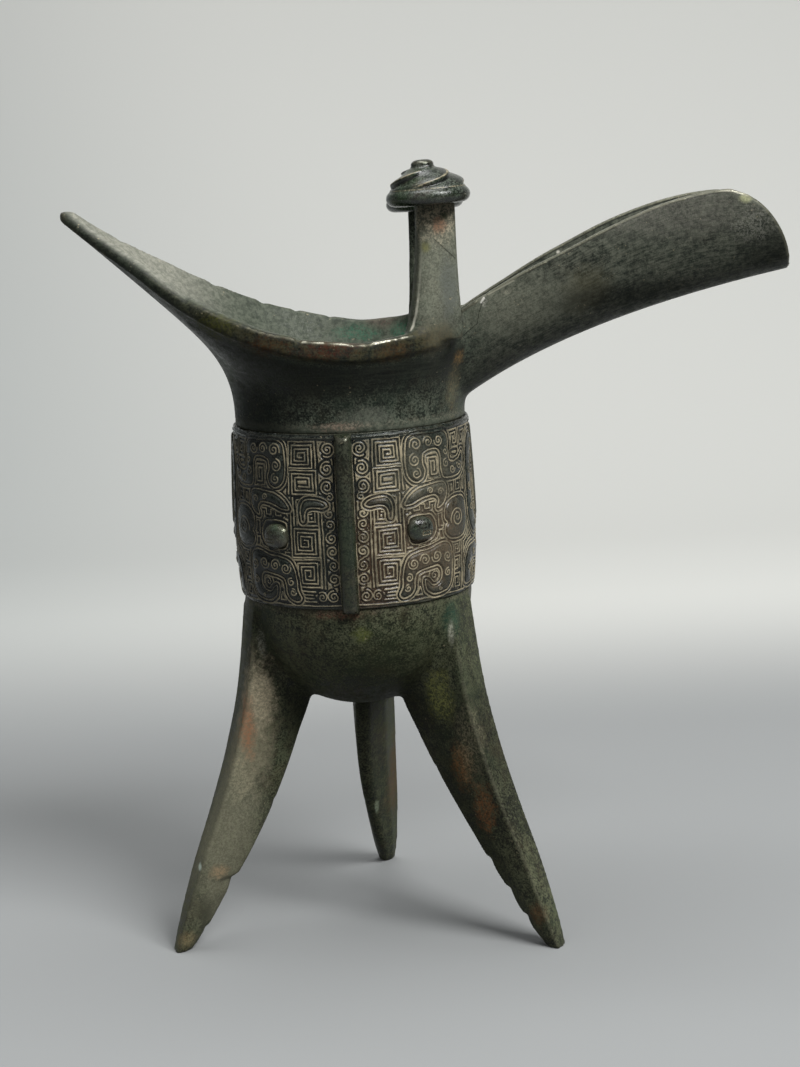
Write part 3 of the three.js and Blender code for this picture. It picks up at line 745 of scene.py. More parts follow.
def leg_skin(name):
    """A blade leg: twelve-cornered sections from the foot up, cut off where the bowl's hollow begins."""
    direction, skew, fullness, chips = LEGS[name]
    lines = flowing(LEG_LINES, 24)
    heights = np.linspace(0, 1, LEG_STEPS + 1)
    draw, inner, widening = (np.interp(heights, lines[:, 0], lines[:, k]) for k in (1, 2, 3))
    turn = Matrix.Rotation(math.radians(direction), 3, "Z")
    corners = {}

    def section(step):
        height = heights[step] * LEG_TOP
        outer = LEG_FOOT_RADIUS - draw[step]
        edge = inner[step] - fullness * smooth_share(heights[step], 0.28, 0.72)
        for chip, deep, length in chips:
            if chip - length < height < chip:
                edge += deep * ((height - chip + length) / length) ** 1.6
        half = (LEG_FOOT_WIDTH + (LEG_TOP_WIDTH - LEG_FOOT_WIDTH) * widening[step]) / 2
        depth = outer - edge
        lean = skew * math.sin(math.pi * min(heights[step] * 1.25, 1)) * 0.75
        ring = [
            (outer + 0.15, 0), (outer, half - 0.5), (outer - 0.5, half),
            (outer - 0.14 * depth, half * 0.93 + lean * 0.1),
            (edge + 0.45 * depth, half * 0.78 + lean * 0.4), (edge + 0.7, half * 0.34 + lean), (edge, lean),
            (edge + 0.7, -half * 0.34 + lean), (edge + 0.45 * depth, -half * 0.78 + lean * 0.4),
            (outer - 0.14 * depth, -half * 0.93 + lean * 0.1), (outer - 0.5, -half), (outer, -half + 0.5),
        ]
        return evenly(np.array(ring), LEG_SIDES, loop=True)

    def point(around, across):
        step = round(across * LEG_STEPS)
        if step not in corners:
            corners[step] = section(step)
        out, side = corners[step][round(around * LEG_SIDES) % LEG_SIDES]
        return turn @ Vector((out, side, heights[step] * LEG_TOP))

    return cut(closed_skin(name + "_skin", LEG_SIDES, LEG_STEPS, point), core)


skins = [bowl_skin] + [leg_skin(name) for name in LEGS]
bpy.data.objects.remove(core)

# %% Melting the bowl and the legs together
LOWER_VOXEL = 0.5
LEG_ROOT_LOW, LEG_ROOT_HIGH = 55, 93
LEG_ROUNDS = 40
lower = melted(skins, "bowl_and_legs", LOWER_VOXEL)


def near_leg_root(x, y, z):
    """1 outside the bowl, in the corners between its flank and the legs, else 0."""
    bowl = (x**2 + y**2) / CUP_RADIUS**2 + (np.maximum(BAND_LOW - z, 0) / (BAND_LOW - CUP_BOTTOM)) ** 2
    return ((bowl > 0.97) & (z > LEG_ROOT_LOW) & (z < LEG_ROOT_HIGH)).astype(float)


filleted(lower, LEG_ROUNDS, near_leg_root)
eased(lower, 2)
dressed(lower, ["cup", *LEGS])

# %% [markdown]
# ## The drawing on the band
# The band carries two beast masks, one either side of the cup. Each half of a mask fills a quarter
# of the band: a horn, a brow, a boss of an eye, a jaw and an ear are smooth and stand a little
# proud, and square and round scrolls of a fine thread fill the ground between them. The drawing is
# made flat, as millimetres from the mask's middle and up the band, as a carver scribes it. Smooth
# shapes are closed outlines. Threads are lines. The distance to the nearest line then gives both
# the depth of the cut and, at steps of one thread's pitch, the lines that fill what is left.

# %% The carver's tools
PITCH = 0.92
BAND_FACE = 31.3
QUARTER = BAND_FACE * math.pi / 2
DRAWING_DROP = 1.8
PANEL_CELLS = (308, 280)
drawn_u, drawn_v = np.meshgrid(
    np.linspace(0, QUARTER, PANEL_CELLS[0] + 1),
    np.linspace(0, BAND_HEIGHT, PANEL_CELLS[1] + 1) + DRAWING_DROP, indexing="ij",
)
CELL = QUARTER / PANEL_CELLS[0]
# Each wave of the hand: size, its pace across and up the drawing, and its start
WOBBLES = [(0.07, 0.5, 0.3, 0.0), (0.05, -0.4, 0.7, 1.7), (0.025, 1.9, -1.4, 0.6), (0.02, 2.6, 2.2, 2.9)]


def wobble(u, v, turn):
    """The unsteadiness of a hand-cut line, in mm, at a place of the drawing."""
    return sum(size * np.sin(a * u + b * v + phase + turn) for size, a, b, phase in WOBBLES)


drawn_u, drawn_v = drawn_u + wobble(drawn_u, drawn_v, 0.0), drawn_v + wobble(drawn_v, drawn_u, 2.1)


FAR_AWAY = 9.0


def cells(low, high, cell, count):
    """The cells from a low to a high mark, as far as the drawing goes."""
    return slice(*(int(np.clip(mark, 0, count + 1)) for mark in (low / cell, high / cell + 1)))


def distance_to(path, field, reach=3.2):
    """Lowers the field to the distance from a line, near that line."""
    for (au, av), (bu, bv) in zip(path, path[1:]):
        near = (
            cells(min(au, bu) - reach, max(au, bu) + reach, CELL, PANEL_CELLS[0]),
            cells(min(av, bv) - reach - DRAWING_DROP, max(av, bv) + reach - DRAWING_DROP,
                  BAND_HEIGHT / PANEL_CELLS[1], PANEL_CELLS[1]),
        )
        u, v = drawn_u[near], drawn_v[near]
        du, dv = bu - au, bv - av
        length = max(du * du + dv * dv, 1e-12)
        along = np.clip(((u - au) * du + (v - av) * dv) / length, 0, 1)
        away = np.hypot(u - au - along * du, v - av - along * dv)
        field[near] = np.minimum(field[near], away)
    return field


def inside_of(path):
    """Where the drawing lies inside a closed outline."""
    inside = np.zeros(drawn_u.shape, bool)
    for (au, av), (bu, bv) in zip(path, np.roll(path, -1, axis=0)):
        if av != bv:
            crosses = (av > drawn_v) != (bv > drawn_v)
            inside ^= crosses & (drawn_u < (bu - au) * (drawn_v - av) / (bv - av) + au)
    return inside


SCROLL_EYE = 0.2
SCROLL_STEPS = 26


def scroll(u, v, radius, turns=1.7, end=-90, hand=1):
    """A round thread from its eye outwards, ending at an angle in degrees."""
    share = np.linspace(0, 1, int(SCROLL_STEPS * turns))
    angle = math.radians(end) - hand * 2 * math.pi * turns * (1 - share)
    reach = SCROLL_EYE + (radius - SCROLL_EYE) * share
    return np.stack([u + reach * np.cos(angle), v + reach * np.sin(angle)], axis=1)


def fret(u, v, half_u, half_v, hand=1, start=0):
    """A square thread that winds inwards from one of its corners."""
    low_u, high_u, low_v, high_v = u - half_u, u + half_u, v - half_v, v + half_v
    path = [(low_u, low_v)]
    while high_u - low_u > 0.5 * PITCH and high_v - low_v > 0.5 * PITCH:
        path += [(low_u, high_v), (high_u, high_v), (high_u, low_v), (low_u + PITCH, low_v)]
        low_u, high_u, low_v, high_v = low_u + PITCH, high_u - PITCH, low_v + PITCH, high_v - PITCH
        path.append((low_u, low_v - PITCH))
    path = np.array(path)
    if hand < 0:
        path[:, 0] = 2 * u - path[:, 0]
    return path if start == 0 else np.stack([2 * u - path[:, 0], 2 * v - path[:, 1]], axis=1)


# %% The mask's smooth shapes
HORN = [
    (16.3, 35.6), (16.2, 41), (17.1, 43.8), (19.6, 44.5), (24.5, 44.5), (29.3, 44.5), (30.4, 43.2),
    (30.4, 39.2), (30.8, 36.7), (32.6, 36.1), (35.3, 36.8), (37.3, 38.3), (37, 34.8), (35, 33), (31, 32.6),
    (28.2, 32.9), (27.3, 34.6), (27.2, 38.9), (26.3, 40.2), (23, 40.3), (21.3, 39.5), (21, 37.4),
    (21.5, 35.3), (20.9, 33.4), (19.1, 32.6), (17.2, 33.5),
]
NOSE = [
    (4.9, 28.3), (5.9, 29.3), (8.0, 29.8), (10.4, 29.7), (11.5, 28.4), (11.7, 26), (11.4, 24.3),
    (10.9, 24.6), (10.8, 26.2), (10.2, 27.4), (8.6, 27.9), (6.8, 27.8), (5.7, 27.7),
]
BROW = [
    (15.3, 27.4), (16.3, 29.2), (19, 30.8), (23, 31.6), (27.4, 31.7), (28.5, 30.2), (28.2, 27.8),
    (26.9, 26), (25.2, 25.5), (25.7, 27.2), (24.7, 28.6), (22.6, 28.9), (19.6, 28.3), (17.2, 27.4),
]
EAR = [
    (27.6, 22.3), (27.9, 24.9), (30, 26.8), (33.5, 27.3), (36.4, 26.4), (37.4, 23), (37.2, 19.6),
    (35.5, 17.3), (32, 16.7), (29, 17.2), (27.5, 18.8), (27.7, 20.2), (28.5, 21.2),
]
JAW = [
    (14, 9.5), (14.4, 12.2), (15.6, 14.1), (18.4, 14.9), (22, 15.3), (24.6, 16.1), (27, 16.3),
    (29.1, 15.2),
    (29.6, 12), (29.6, 6.6), (28.4, 4.3), (25.8, 3.5), (22.7, 3.6), (20.8, 5), (20.4, 7.4), (21.2, 7),
    (22.6, 5.7), (24.6, 5.8), (25.9, 7.3), (25.8, 9.3), (24.6, 10.8), (21.8, 10.7), (19.4, 10.3), (17.6, 9.4),
    (17, 7.6), (16.8, 5.4), (15.4, 4), (13.7, 3.8), (13.1, 4.6), (13.9, 6.4),
]
BODY = [
    (38.8, 30.5), (38.7, 24), (40, 19), (43, 16.4), (46.6, 16.2), (47, 19.4), (44.9, 20.6), (43.3, 23),
    (42.6, 27), (42.6, 32.6), (43.6, 36.8), (46.8, 38.2), (47, 41.8), (43, 42), (39.8, 38),
]
TAIL_QUILL = [
    (36.4, 4.4), (36.6, 10), (38.6, 13), (42, 13.5), (46.8, 12.8), (47, 9.4), (43, 9.6), (40.6, 8.6),
    (40.2, 5.8), (41.2, 4), (38.6, 3.5),
]
bodies = np.full(drawn_u.shape, FAR_AWAY)
for outline in (HORN, NOSE, BROW, EAR, JAW, BODY, TAIL_QUILL):
    shape = flowing(outline, 6, loop=True)
    edge = distance_to(np.vstack([shape, shape[:1]]), np.full(drawn_u.shape, FAR_AWAY), FAR_AWAY)
    bodies = np.minimum(bodies, np.where(inside_of(shape), -edge, edge))
print(f"smooth shapes cover {100 * (bodies < 0).mean():.0f}% of the drawing")

# %% The threads of the ground
ground = [
    scroll(4.1, 42.4, 2.0, 2.1, -60, 1), scroll(4.5, 37.5, 1.85, 1.9, 110, 1),
    scroll(4.5, 33.1, 1.75, 1.8, -100, -1), scroll(3.9, 30.5, 1.1, 1.2, 80, -1),
    scroll(4.2, 26.2, 1.3, 1.4, 100, 1), scroll(4.1, 23.5, 1.4, 1.5, -80, 1),
    scroll(4.0, 20.1, 1.6, 1.7, 90, 1), scroll(3.8, 16.6, 1.6, 1.7, -90, -1), scroll(3.7, 13.1, 1.6, 1.7, 90, -1),
    scroll(3.7, 9.7, 1.6, 1.7, -90, 1), scroll(4.1, 5, 1.7, 1.8, 90, 1), scroll(7.1, 5, 1.45, 1.6, 60, -1),
    fret(11.1, 41.1, 3.75, 3.35), fret(11.1, 34.2, 3.75, 2.95, -1), fret(10.9, 18.8, 3.8, 3.6, 1, 1),
    fret(10.6, 11.1, 3.5, 3.5, -1), fret(8.8, 25.2, 1.9, 1.9, -1, 1),
    fret(24.2, 36.2, 2.4, 3.0), fret(33.3, 42.1, 2.1, 2.2), fret(33.2, 38.5, 2.1, 1.1, -1),
    fret(33.6, 29.8, 1.7, 1.7, -1, 1), fret(31.9, 14.3, 1.6, 1.6), fret(31.9, 10.1, 1.6, 1.6, -1),
    fret(31.9, 5.6, 1.6, 1.7), fret(26, 22.3, 0.8, 1.6), fret(26, 18.7, 0.8, 1.1, -1),
    scroll(23.3, 8.3, 1.9, 1.7, 150, -1),
    fret(44.6, 28.5, 1.3, 4, 1, 1), fret(35, 22, 0.6, 0.6), fret(44.4, 6.2, 2.1, 1.6), fret(35, 32, 0.5, 0.5),
]
ground += [
    np.array(line, float) for line in (
        [(2.1, 3), (2.1, 45)], [(6.05, 7.3), (6.05, 26.6)], [(6.9, 7.4), (6.9, 23)],
        [(12.9, 23.2), (12.9, 29.8), (9, 30.6)], [(13.8, 23.2), (13.8, 30.4)], [(14.7, 15), (14.7, 29)],
        [(9, 6.5), (13, 6.5)], [(9.7, 5.6), (12.8, 5.6)], [(9.4, 4.7), (12.8, 4.7)], [(8.8, 3.8), (12.8, 3.8)],
        [(15.6, 25.6), (15.9, 26.6), (17.5, 26.6), (17.5, 25.6), (19.2, 25.7), (19.2, 27), (20.8, 27),
         (20.8, 25.8), (22.4, 25.8), (22.4, 27.2), (24, 27.2)],
        [(15.4, 16.4), (16.8, 16.4), (16.8, 15.4), (18.6, 15.6), (18.6, 16.6), (20.4, 16.6), (20.4, 15.8),
         (22.2, 16), (22.2, 17), (24.2, 17.6), (24.9, 18.9)],
        [(18.4, 3.9), (17.6, 3.9), (18.6, 6), (19.4, 3.9), (18.4, 3.9)], [(18.6, 7.2), (18.6, 9)],
        [(34.5, 3), (34.5, 15.6)], [(48.2, 3), (48.2, 45)],
        [(0, 45.3), (QUARTER, 45.3)], [(0, 2.7), (QUARTER, 2.7)],
    )
]
eye_ring = [
    (15.9, 21.5), (16.1, 23.6), (17.6, 24.3), (20, 24.5), (22.6, 24.1), (24, 22.4), (24.1, 20),
    (22.8, 17.9), (20.2, 17.1), (17.2, 17.1), (16.1, 18.2),
]
eye_ring = flowing(eye_ring, 6, loop=True)
ground.append(np.vstack([eye_ring, eye_ring[:1]]))
within_eye = inside_of(eye_ring)
# Lines on the smooth shapes
fine = [
    scroll(19.0, 42.2, 1.75, 1.75, 200, 1), scroll(18.6, 38.4, 1.7, 1.75, 100, -1),
    scroll(18.8, 34.9, 1.5, 1.5, 80, 1), scroll(22.9, 42.4, 1.6, 1.65, 180, 1),
    scroll(26.6, 42.4, 1.6, 1.65, 180, -1), scroll(28.9, 39.4, 1.2, 1.3, 90, 1),
    scroll(28.9, 36.3, 1.2, 1.3, 90, -1), scroll(31.4, 34.5, 1.2, 1.4, 0, 1), scroll(34.6, 35, 1.2, 1.4, 0, -1),
    scroll(16.7, 12.2, 1.6, 1.75, 150, -1), scroll(20.1, 12.9, 1.6, 1.7, 180, 1),
    scroll(23.8, 13.3, 1.65, 1.75, 180, -1), scroll(15.4, 8.6, 1.1, 1.3, 100, 1),
    scroll(15.1, 6, 1.0, 1.3, 80, -1), scroll(27.5, 12.6, 1.4, 1.5, -60, 1),
    scroll(32, 21.9, 2.6, 2.3, 200, 1), scroll(22.8, 30.1, 0.9, 1.2, 180, 1), scroll(26, 29.4, 1.0, 1.3, 0, -1),
    scroll(41, 33, 1.3, 1.5, 90, 1), scroll(40.6, 28.6, 1.2, 1.5, 90, -1), scroll(41, 23.6, 1.3, 1.5, 90, 1),
    scroll(44.6, 18.4, 1.1, 1.4, 0, -1), scroll(44.6, 39.8, 1.2, 1.5, 0, 1), scroll(38.4, 8, 1.1, 1.4, 90, 1),
    scroll(42, 11.5, 1.1, 1.4, 0, 1), scroll(27.7, 8.6, 1.1, 1.4, 90, -1), scroll(25.2, 4.7, 0.5, 1, 0, 1),
]

# %% From lines to depths
THREAD_PROUD = 0.3
THREAD_HALF = 0.23
THREAD_BLUR = 0.13
BODY_SWELL = 0.46
BODY_CROWN = 0.3
BODY_MARGIN = 0.12
FINE_PROUD = 0.14
ground_away = np.full(drawn_u.shape, FAR_AWAY)
for path in ground:
    distance_to(path, ground_away)
outline_away = np.abs(bodies - BODY_MARGIN)
second_away = np.where(bodies > 0.5, np.abs(bodies - BODY_MARGIN - PITCH), FAR_AWAY)
ground_away = np.where(bodies > 1.4 * PITCH, ground_away, FAR_AWAY)
thread_away = np.minimum(np.minimum(outline_away, second_away), ground_away)
# Whatever is left between the drawn lines is filled with lines at one pitch from each other
filling = np.abs((thread_away + PITCH / 2) % PITCH - PITCH / 2)
filling = np.where((bodies > 1.2 * PITCH) & ~within_eye & (thread_away < 6), filling, thread_away)
fine_away = np.full(drawn_u.shape, FAR_AWAY)
for path in fine:
    distance_to(path, fine_away, 1)
fine_away = np.where(bodies < -0.45, fine_away, FAR_AWAY)
uneven_half = THREAD_HALF + 0.5 * wobble(drawn_v * 1.4, drawn_u * 0.8, 0.9)
thread = 1 - step_between(filling, uneven_half - THREAD_BLUR, uneven_half + THREAD_BLUR)
fine_thread = 1 - step_between(fine_away, 0.06, 0.3)
on_body = step_between(-bodies, 0.1, 0.7)
crown = 1 + BODY_CROWN * step_between(-bodies, 0.6, 2.2)
relief = THREAD_PROUD * thread + BODY_SWELL * on_body * crown + FINE_PROUD * fine_thread
# From -1 in the ground beside a thread to 1 on it, for the earth and the painted shade of the finish
shade_beside_thread = (1 - thread) * (1 - on_body) * np.where(within_eye, 0.6, 1)
shade_beside_fine_line = step_between(fine_away, 0.2, 0.4) * (1 - step_between(fine_away, 0.5, 0.75)) * on_body
earth_and_shade = np.maximum(thread, 0.8 * fine_thread) - shade_beside_thread - 0.55 * shade_beside_fine_line
print(f"threads cover {100 * (thread > 0.5).mean():.0f}% of the drawing")

# %% [markdown]
# ## The four carved panels
# The drawing is wrapped round the cup, plain on one side of a mask and mirrored on the other. Bump
# alone would leave the band's edge smooth and its cuts without shadow, so the cuts are real: every
# grid point is moved in or out by the drawing. Each point also remembers whether it lies on a thread
# or in the ground beside one, and the finish later lays the pale earth on the threads and painted
# shade in the ground beside them.

# %% The panels
BAND_PROUD = 0.7
BAND_BULGE = 1.0
BACK_ROWS = 6
BED_DEPTH = 0.6
TOP_STRIP = 1.6
FOOT_STRIP = 0.6
STRIP_PROUD = 0.2
EDGE_ROUND = 0.7
EDGE_DROP = 0.45


def band_radius(rise):
    """How far the band's face lies from the axis, at a height above its lower edge."""
    share = min(max(rise / BAND_HEIGHT, 0), 1)
    return CUP_RADIUS + BAND_PROUD + BAND_BULGE * math.sin(math.pi * share**0.75)


def panel(name, middle, hand):
    """A quarter of the band, from a mask's middle to the side, drawn to the left or the right."""
    rows = PANEL_CELLS[1] + BACK_ROWS
    back_rises = np.linspace(BAND_HEIGHT, 0, BACK_ROWS)
    bm = bmesh.new()
    earth_and_shade_mark = bm.verts.layers.float.new("earth_and_shade")
    for point, i, j in grid_points(bm, PANEL_CELLS[0], rows):
        j %= rows
        bearing = middle + hand * math.pi / 2 * i / PANEL_CELLS[0]
        if j <= PANEL_CELLS[1]:
            rise = BAND_HEIGHT * j / PANEL_CELLS[1]
            edge_drop = EDGE_DROP * max(0, 1 - min(rise, BAND_HEIGHT - rise) / EDGE_ROUND) ** 2
            plain_strip = rise > BAND_HEIGHT - TOP_STRIP or rise < FOOT_STRIP
            point[earth_and_shade_mark] = 0 if plain_strip else earth_and_shade[i, j]
            radius = band_radius(rise) - THREAD_PROUD + relief[i, j] - edge_drop + STRIP_PROUD * plain_strip
        else:
            rise = back_rises[j - PANEL_CELLS[1]]
            radius = CUP_RADIUS - BED_DEPTH
        point.co = (radius * math.cos(bearing), radius * math.sin(bearing), BAND_LOW + rise)
    bmesh.ops.remove_doubles(bm, verts=bm.verts, dist=WELD)
    bmesh.ops.holes_fill(bm, edges=bm.edges, sides=0)
    return dressed(placed(closed(bm), "carved_" + name), [name])


panel("front_spout_panel", FRONT, 1)
panel("front_tail_panel", FRONT, -1)
panel("rear_spout_panel", HANDLE_SIDE, -1)
panel("rear_tail_panel", HANDLE_SIDE, 1)

# %% [markdown]
# ## Ridges and eye bosses
# A tall rounded ridge is the mask's nose line, and two short low ones mark the sides. The eyes are
# smooth pillows with a small sunk slot for a pupil, set towards the outer corner.

# %% The ridges
RIDGE_SIDES = 22
RIDGE_ROUND = RIDGE_SIDES - 4
RIDGE_STEPS = 120
RIDGE_ROOT = 0.35
RIDGE_BED = 1.2
RIDGE_FLARE = 0.25


def ridge(name, bearing, half, proud, low, high, roundness=0.42):
    """An upright bar on the band, rounded across and at its ends."""
    turn = Matrix.Rotation(bearing, 3, "Z")
    end_round = max(0.7 * proud, 1.2)

    def point(around, across):
        height = low + (high - low) * across
        end = min(height - low, high - height)
        lift = proud * (1 - max(0, 1 - end / end_round) ** 2) ** 0.5
        face = band_radius(height - BAND_LOW)
        place = round(around * RIDGE_SIDES) % RIDGE_SIDES
        if place > RIDGE_ROUND:
            return turn @ Vector((face - RIDGE_BED, (half + RIDGE_FLARE) * (RIDGE_ROUND + 2 - place), height))
        angle = math.pi * (place / RIDGE_ROUND - 0.5)
        out = face - RIDGE_ROOT + (lift + RIDGE_ROOT) * abs(math.cos(angle)) ** roundness
        side = math.copysign(abs(math.sin(angle)) ** 0.8, angle)
        return turn @ Vector((out, side * (half + RIDGE_FLARE * abs(math.sin(angle)) ** 12), height))

    made = closed_skin("cast_" + name, RIDGE_SIDES, RIDGE_STEPS, point)
    return dressed(made, [name])


ridge("front_ridge", FRONT, 1.95, 2.6, BAND_LOW - 1.2, BAND_TOP - 0.1, 0.62)
side_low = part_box("spout_side_ridge")[0].z / MM
SIDE_DROP = 2.2
ridge("spout_side_ridge", HANDLE_SIDE - math.pi / 2, 1.2, 0.35, side_low - SIDE_DROP, BAND_TOP - SIDE_DROP)
ridge("tail_side_ridge", HANDLE_SIDE + math.pi / 2, 1.2, 0.7, side_low - SIDE_DROP, BAND_TOP - SIDE_DROP)

# %% The eyes
EYE_HALF_WIDTH = 3.65
EYE_HALF_HEIGHT = 3.15
EYE_SHIFT = 0.3
EYE_PROUD = 2.1
EYE_TURN = math.radians(35)
EYE_BED = 1.2
EYE_SPOKES = 96
EYE_RINGS = 44
SKIRT_RINGS = 2
# The pupil's place across and up, and its half sizes
PUPIL = (0.9, -0.9, 1.25, 0.45)


def eye(name, middle, hand):
    """A pillow on the band. Its pupil is a slot towards the outer corner."""
    low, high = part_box(name)
    height = (low.z + high.z) / 2 / MM + hand * EYE_SHIFT
    face = band_radius(height - BAND_LOW)
    turn = Matrix.Rotation(middle + hand * EYE_TURN, 3, "Z")
    bm = bmesh.new()
    earth_and_shade_mark = bm.verts.layers.float.new("earth_and_shade")
    for point, i, j in grid_points(bm, EYE_SPOKES, EYE_RINGS):
        angle = 2 * math.pi * (i % EYE_SPOKES) / EYE_SPOKES
        across, upright = (math.copysign(abs(f(angle)) ** 0.8, f(angle)) for f in (math.cos, math.sin))
        share = min(j / EYE_RINGS * 1.12, 1)
        side, up = EYE_HALF_WIDTH * share * across, EYE_HALF_HEIGHT * share * upright
        dome = -EYE_BED if j > EYE_RINGS - SKIRT_RINGS - 1 else EYE_PROUD * (1 - share**2.4) ** 0.55
        slot_u, slot_v, half_u, half_v = PUPIL
        away = max(abs(side - hand * slot_u) - half_u, abs(up - slot_v) - half_v)
        if dome > 0.5:
            dome -= 0.3 * (1 - smooth_share(abs(away), 0.02, 0.25)) + 0.12 * (1 - smooth_share(away, -0.2, 0.1))
            point[earth_and_shade_mark] = 0.85 * (1 - smooth_share(abs(away), 0.02, 0.24))
        point.co = turn @ Vector((face + dome, side, height + up))
    closed(bm)
    bmesh.ops.holes_fill(bm, edges=bm.edges, sides=0)
    return dressed(placed(closed(bm), "cast_" + name), [name])


eye("front_spout_eye", FRONT, 1)
eye("front_tail_eye", FRONT, -1)
eye("rear_spout_eye", HANDLE_SIDE, -1)
eye("rear_tail_eye", HANDLE_SIDE, 1)

# %% [markdown]
# ## The caps
# Each post wears a cap like a mushroom: a rolled brim, a cone of whorls that turn as they climb,
# and a low button. The profile is bent round the post's axis and the whorls are raised on it as
# blades that climb from one edge and drop sharply at the other. Their crests are painted pale as a
# highlight and the corners at the drop dark as painted shade; earth stays in the brim's groove.

# %% The caps
CAP_LINE = [
    (0, 0.15), (5, 0.1), (8.6, 0), (9.7, 0.5), (10.35, 1.6), (10.2, 2.7), (9.8, 3.3), (9.5, 3.6), (9.3, 3.9),
    (8.8, 5.0), (7.9, 6.2), (6.7, 7.2), (5.2, 8.1), (3.9, 8.7), (3.1, 9.0),
    (2.8, 9.4), (2.75, 10.0), (2.35, 10.5), (1.5, 10.85), (0, 10.95),
]
BRIM_TOP = 3.9
CONE_RISE = 5.2
BUTTON_RADIUS = 3.7
BUTTON_SHIFT = -0.8
CAP_SPOKES = 220
CAP_RINGS = 110
CAP_TILT = math.radians(2.5)
WHORLS = 4
WHORL_TWIST = -0.36
WHORL_START = 0.06
WHORL_DEPTH = 1.2
WHORL_EDGE = 0.93


def whorl(turn, climb):
    """How far a blade of the whorl lifts the cone, and its mark: above 0 for a painted highlight on the crest,
    below 0 for painted shade in the corner.
    """
    blade = (WHORLS * (turn + WHORL_START + WHORL_TWIST * climb)) % 1
    fade = smooth_share(climb, 0, 0.25) * (1 - smooth_share(climb, 0.6, 0.98))
    past_edge = smooth_share(blade, WHORL_EDGE, 1)
    lift = WHORL_DEPTH * (blade**1.3 * (1 - past_edge) - 0.5)
    crest = smooth_share(blade, 0.78, 0.9) * (1 - smooth_share(blade, WHORL_EDGE, 0.97))
    corner = smooth_share(blade, 0.95, 0.98) + 1 - smooth_share(blade, 0, 0.12)
    return lift * fade, min(1, 2 * fade) * (0.7 * crest - corner)


def cap(which):
    """A profile bent round the post's axis, with whorls on its cone and its button a little off centre."""
    name = which + "_cap"
    low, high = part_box(name)
    middle = (Vector(((low.x + high.x) / 2, (low.y + high.y) / 2, low.z)) - AXIS) / MM
    tilt = Matrix.Translation(middle) @ Matrix.Rotation(-CAP_TILT, 4, "Y")
    line = evenly(flowing(CAP_LINE, 8), CAP_RINGS + 1)
    bm = bmesh.new()
    earth_and_shade_mark = bm.verts.layers.float.new("earth_and_shade")
    for point, i, j in grid_points(bm, CAP_SPOKES, CAP_RINGS):
        turn = i % CAP_SPOKES / CAP_SPOKES
        radius, height = line[j]
        if height > BRIM_TOP and radius > BUTTON_RADIUS:
            lift, point[earth_and_shade_mark] = whorl(turn, (height - BRIM_TOP) / CONE_RISE)
            radius += 0.6 * lift
            height += 0.8 * lift
        if abs(height - BRIM_TOP) < 0.4 and radius > 6:
            point[earth_and_shade_mark] = max(point[earth_and_shade_mark], 0.8 - abs(height - BRIM_TOP) / 0.3)
        angle = 2 * math.pi * turn
        shift = BUTTON_SHIFT * smooth_share(height, 6, 9.6)
        point.co = tilt @ Vector((radius * math.cos(angle) + shift, radius * math.sin(angle), height))
    return dressed(placed(closed(bm), "cast_" + name), [name])


cap("near")
cap("far")

# %% [markdown]
# ## The handle
# The loop at the back is a strap that leaves the band, turns down and comes back to it. A beast's
# head bites its upper end, with two curled horns. The strap is a bent grid round a smooth line, and
# the head is melted together from a few swelling skins.

# %% The strap
STRAP_WIDTH = 9
STRAP_THICKNESS = 4.2
strap_far = (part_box("handle_strap")[1].y - AXIS.y) / MM - STRAP_THICKNESS / 2
strap_top = BAND_TOP - 6
strap_foot = BAND_LOW + 5.2
STRAP_LINE = [
    (CUP_RADIUS - 1, strap_top), (strap_far - 9, strap_top + 0.5), (strap_far - 2, strap_top - 5),
    (strap_far, (strap_top + strap_foot) / 2 + 2), (strap_far - 3.5, strap_foot + 7),
    (strap_far - 10, strap_foot + 1), (CUP_RADIUS - 1, strap_foot - 0.5),
]
STRAP_STEPS = 150
STRAP_SIDES = 48


def strap():
    """A flat bar with soft sides, bent along the strap's line."""
    line = evenly(flowing(STRAP_LINE, 20), STRAP_STEPS + 1)
    ahead = np.gradient(line, axis=0)
    turn = Matrix.Rotation(HANDLE_SIDE, 3, "Z")

    def point(around, across):
        step = round(across * STRAP_STEPS)
        angle = 2 * math.pi * around
        wide, thick = (math.copysign(abs(f(angle)) ** 0.55, f(angle)) for f in (math.cos, math.sin))
        along = Vector((ahead[step][0], 0, ahead[step][1])).normalized()
        outward = Vector((along.z, 0, -along.x))
        at = Vector((line[step][0], 0, line[step][1])) - outward * thick * STRAP_THICKNESS / 2
        at.y = wide * STRAP_WIDTH / 2
        return turn @ at

    made = closed_skin("cast_handle_strap", STRAP_SIDES, STRAP_STEPS, point)
    return dressed(made, ["handle_strap"])


strap()

# %% The beast's head
HEAD_WIDTH = 15
HEAD_STEPS = 60
HEAD_VOXEL = 0.36
BROW_OUT, BROW_LENGTH, BROW_RISE = 9, 2.5, 0.5
# Distance out from the band, share of the width, and heights of the upper and the lower line
HEAD_LINES = [
    (-0.6, 0.6, -0.4, -6.2), (1, 0.8, 0.4, -7.6), (3, 1, 1.5, -9.5), (7.5, 0.95, 1.4, -11.5),
    (11.5, 0.72, 0.2, -13.5), (15, 0.58, -3, -15.5), (17.6, 0.52, -6.6, -16.4), (19, 0.36, -9, -15),
    (19.3, 0.1, -11, -13),
]
HORN_STEPS = 40
HORN_SIDES = 20
HORN_ROOT_RADIUS, HORN_TIP_RADIUS = 2.1, 0.7
HORN_ROOT = (6.5, 5.9, -3)
HORN_LINE = [(0, -1, -1), (0, 0, 0), (-0.45, 2.9, 1.1), (-1.1, 4.5, 4), (-2.7, 3.4, 7.2), (-4.5, 1.1, 8.1)]
head_face = band_radius(BAND_HEIGHT)
head_turn = Matrix.Rotation(HANDLE_SIDE, 3, "Z")


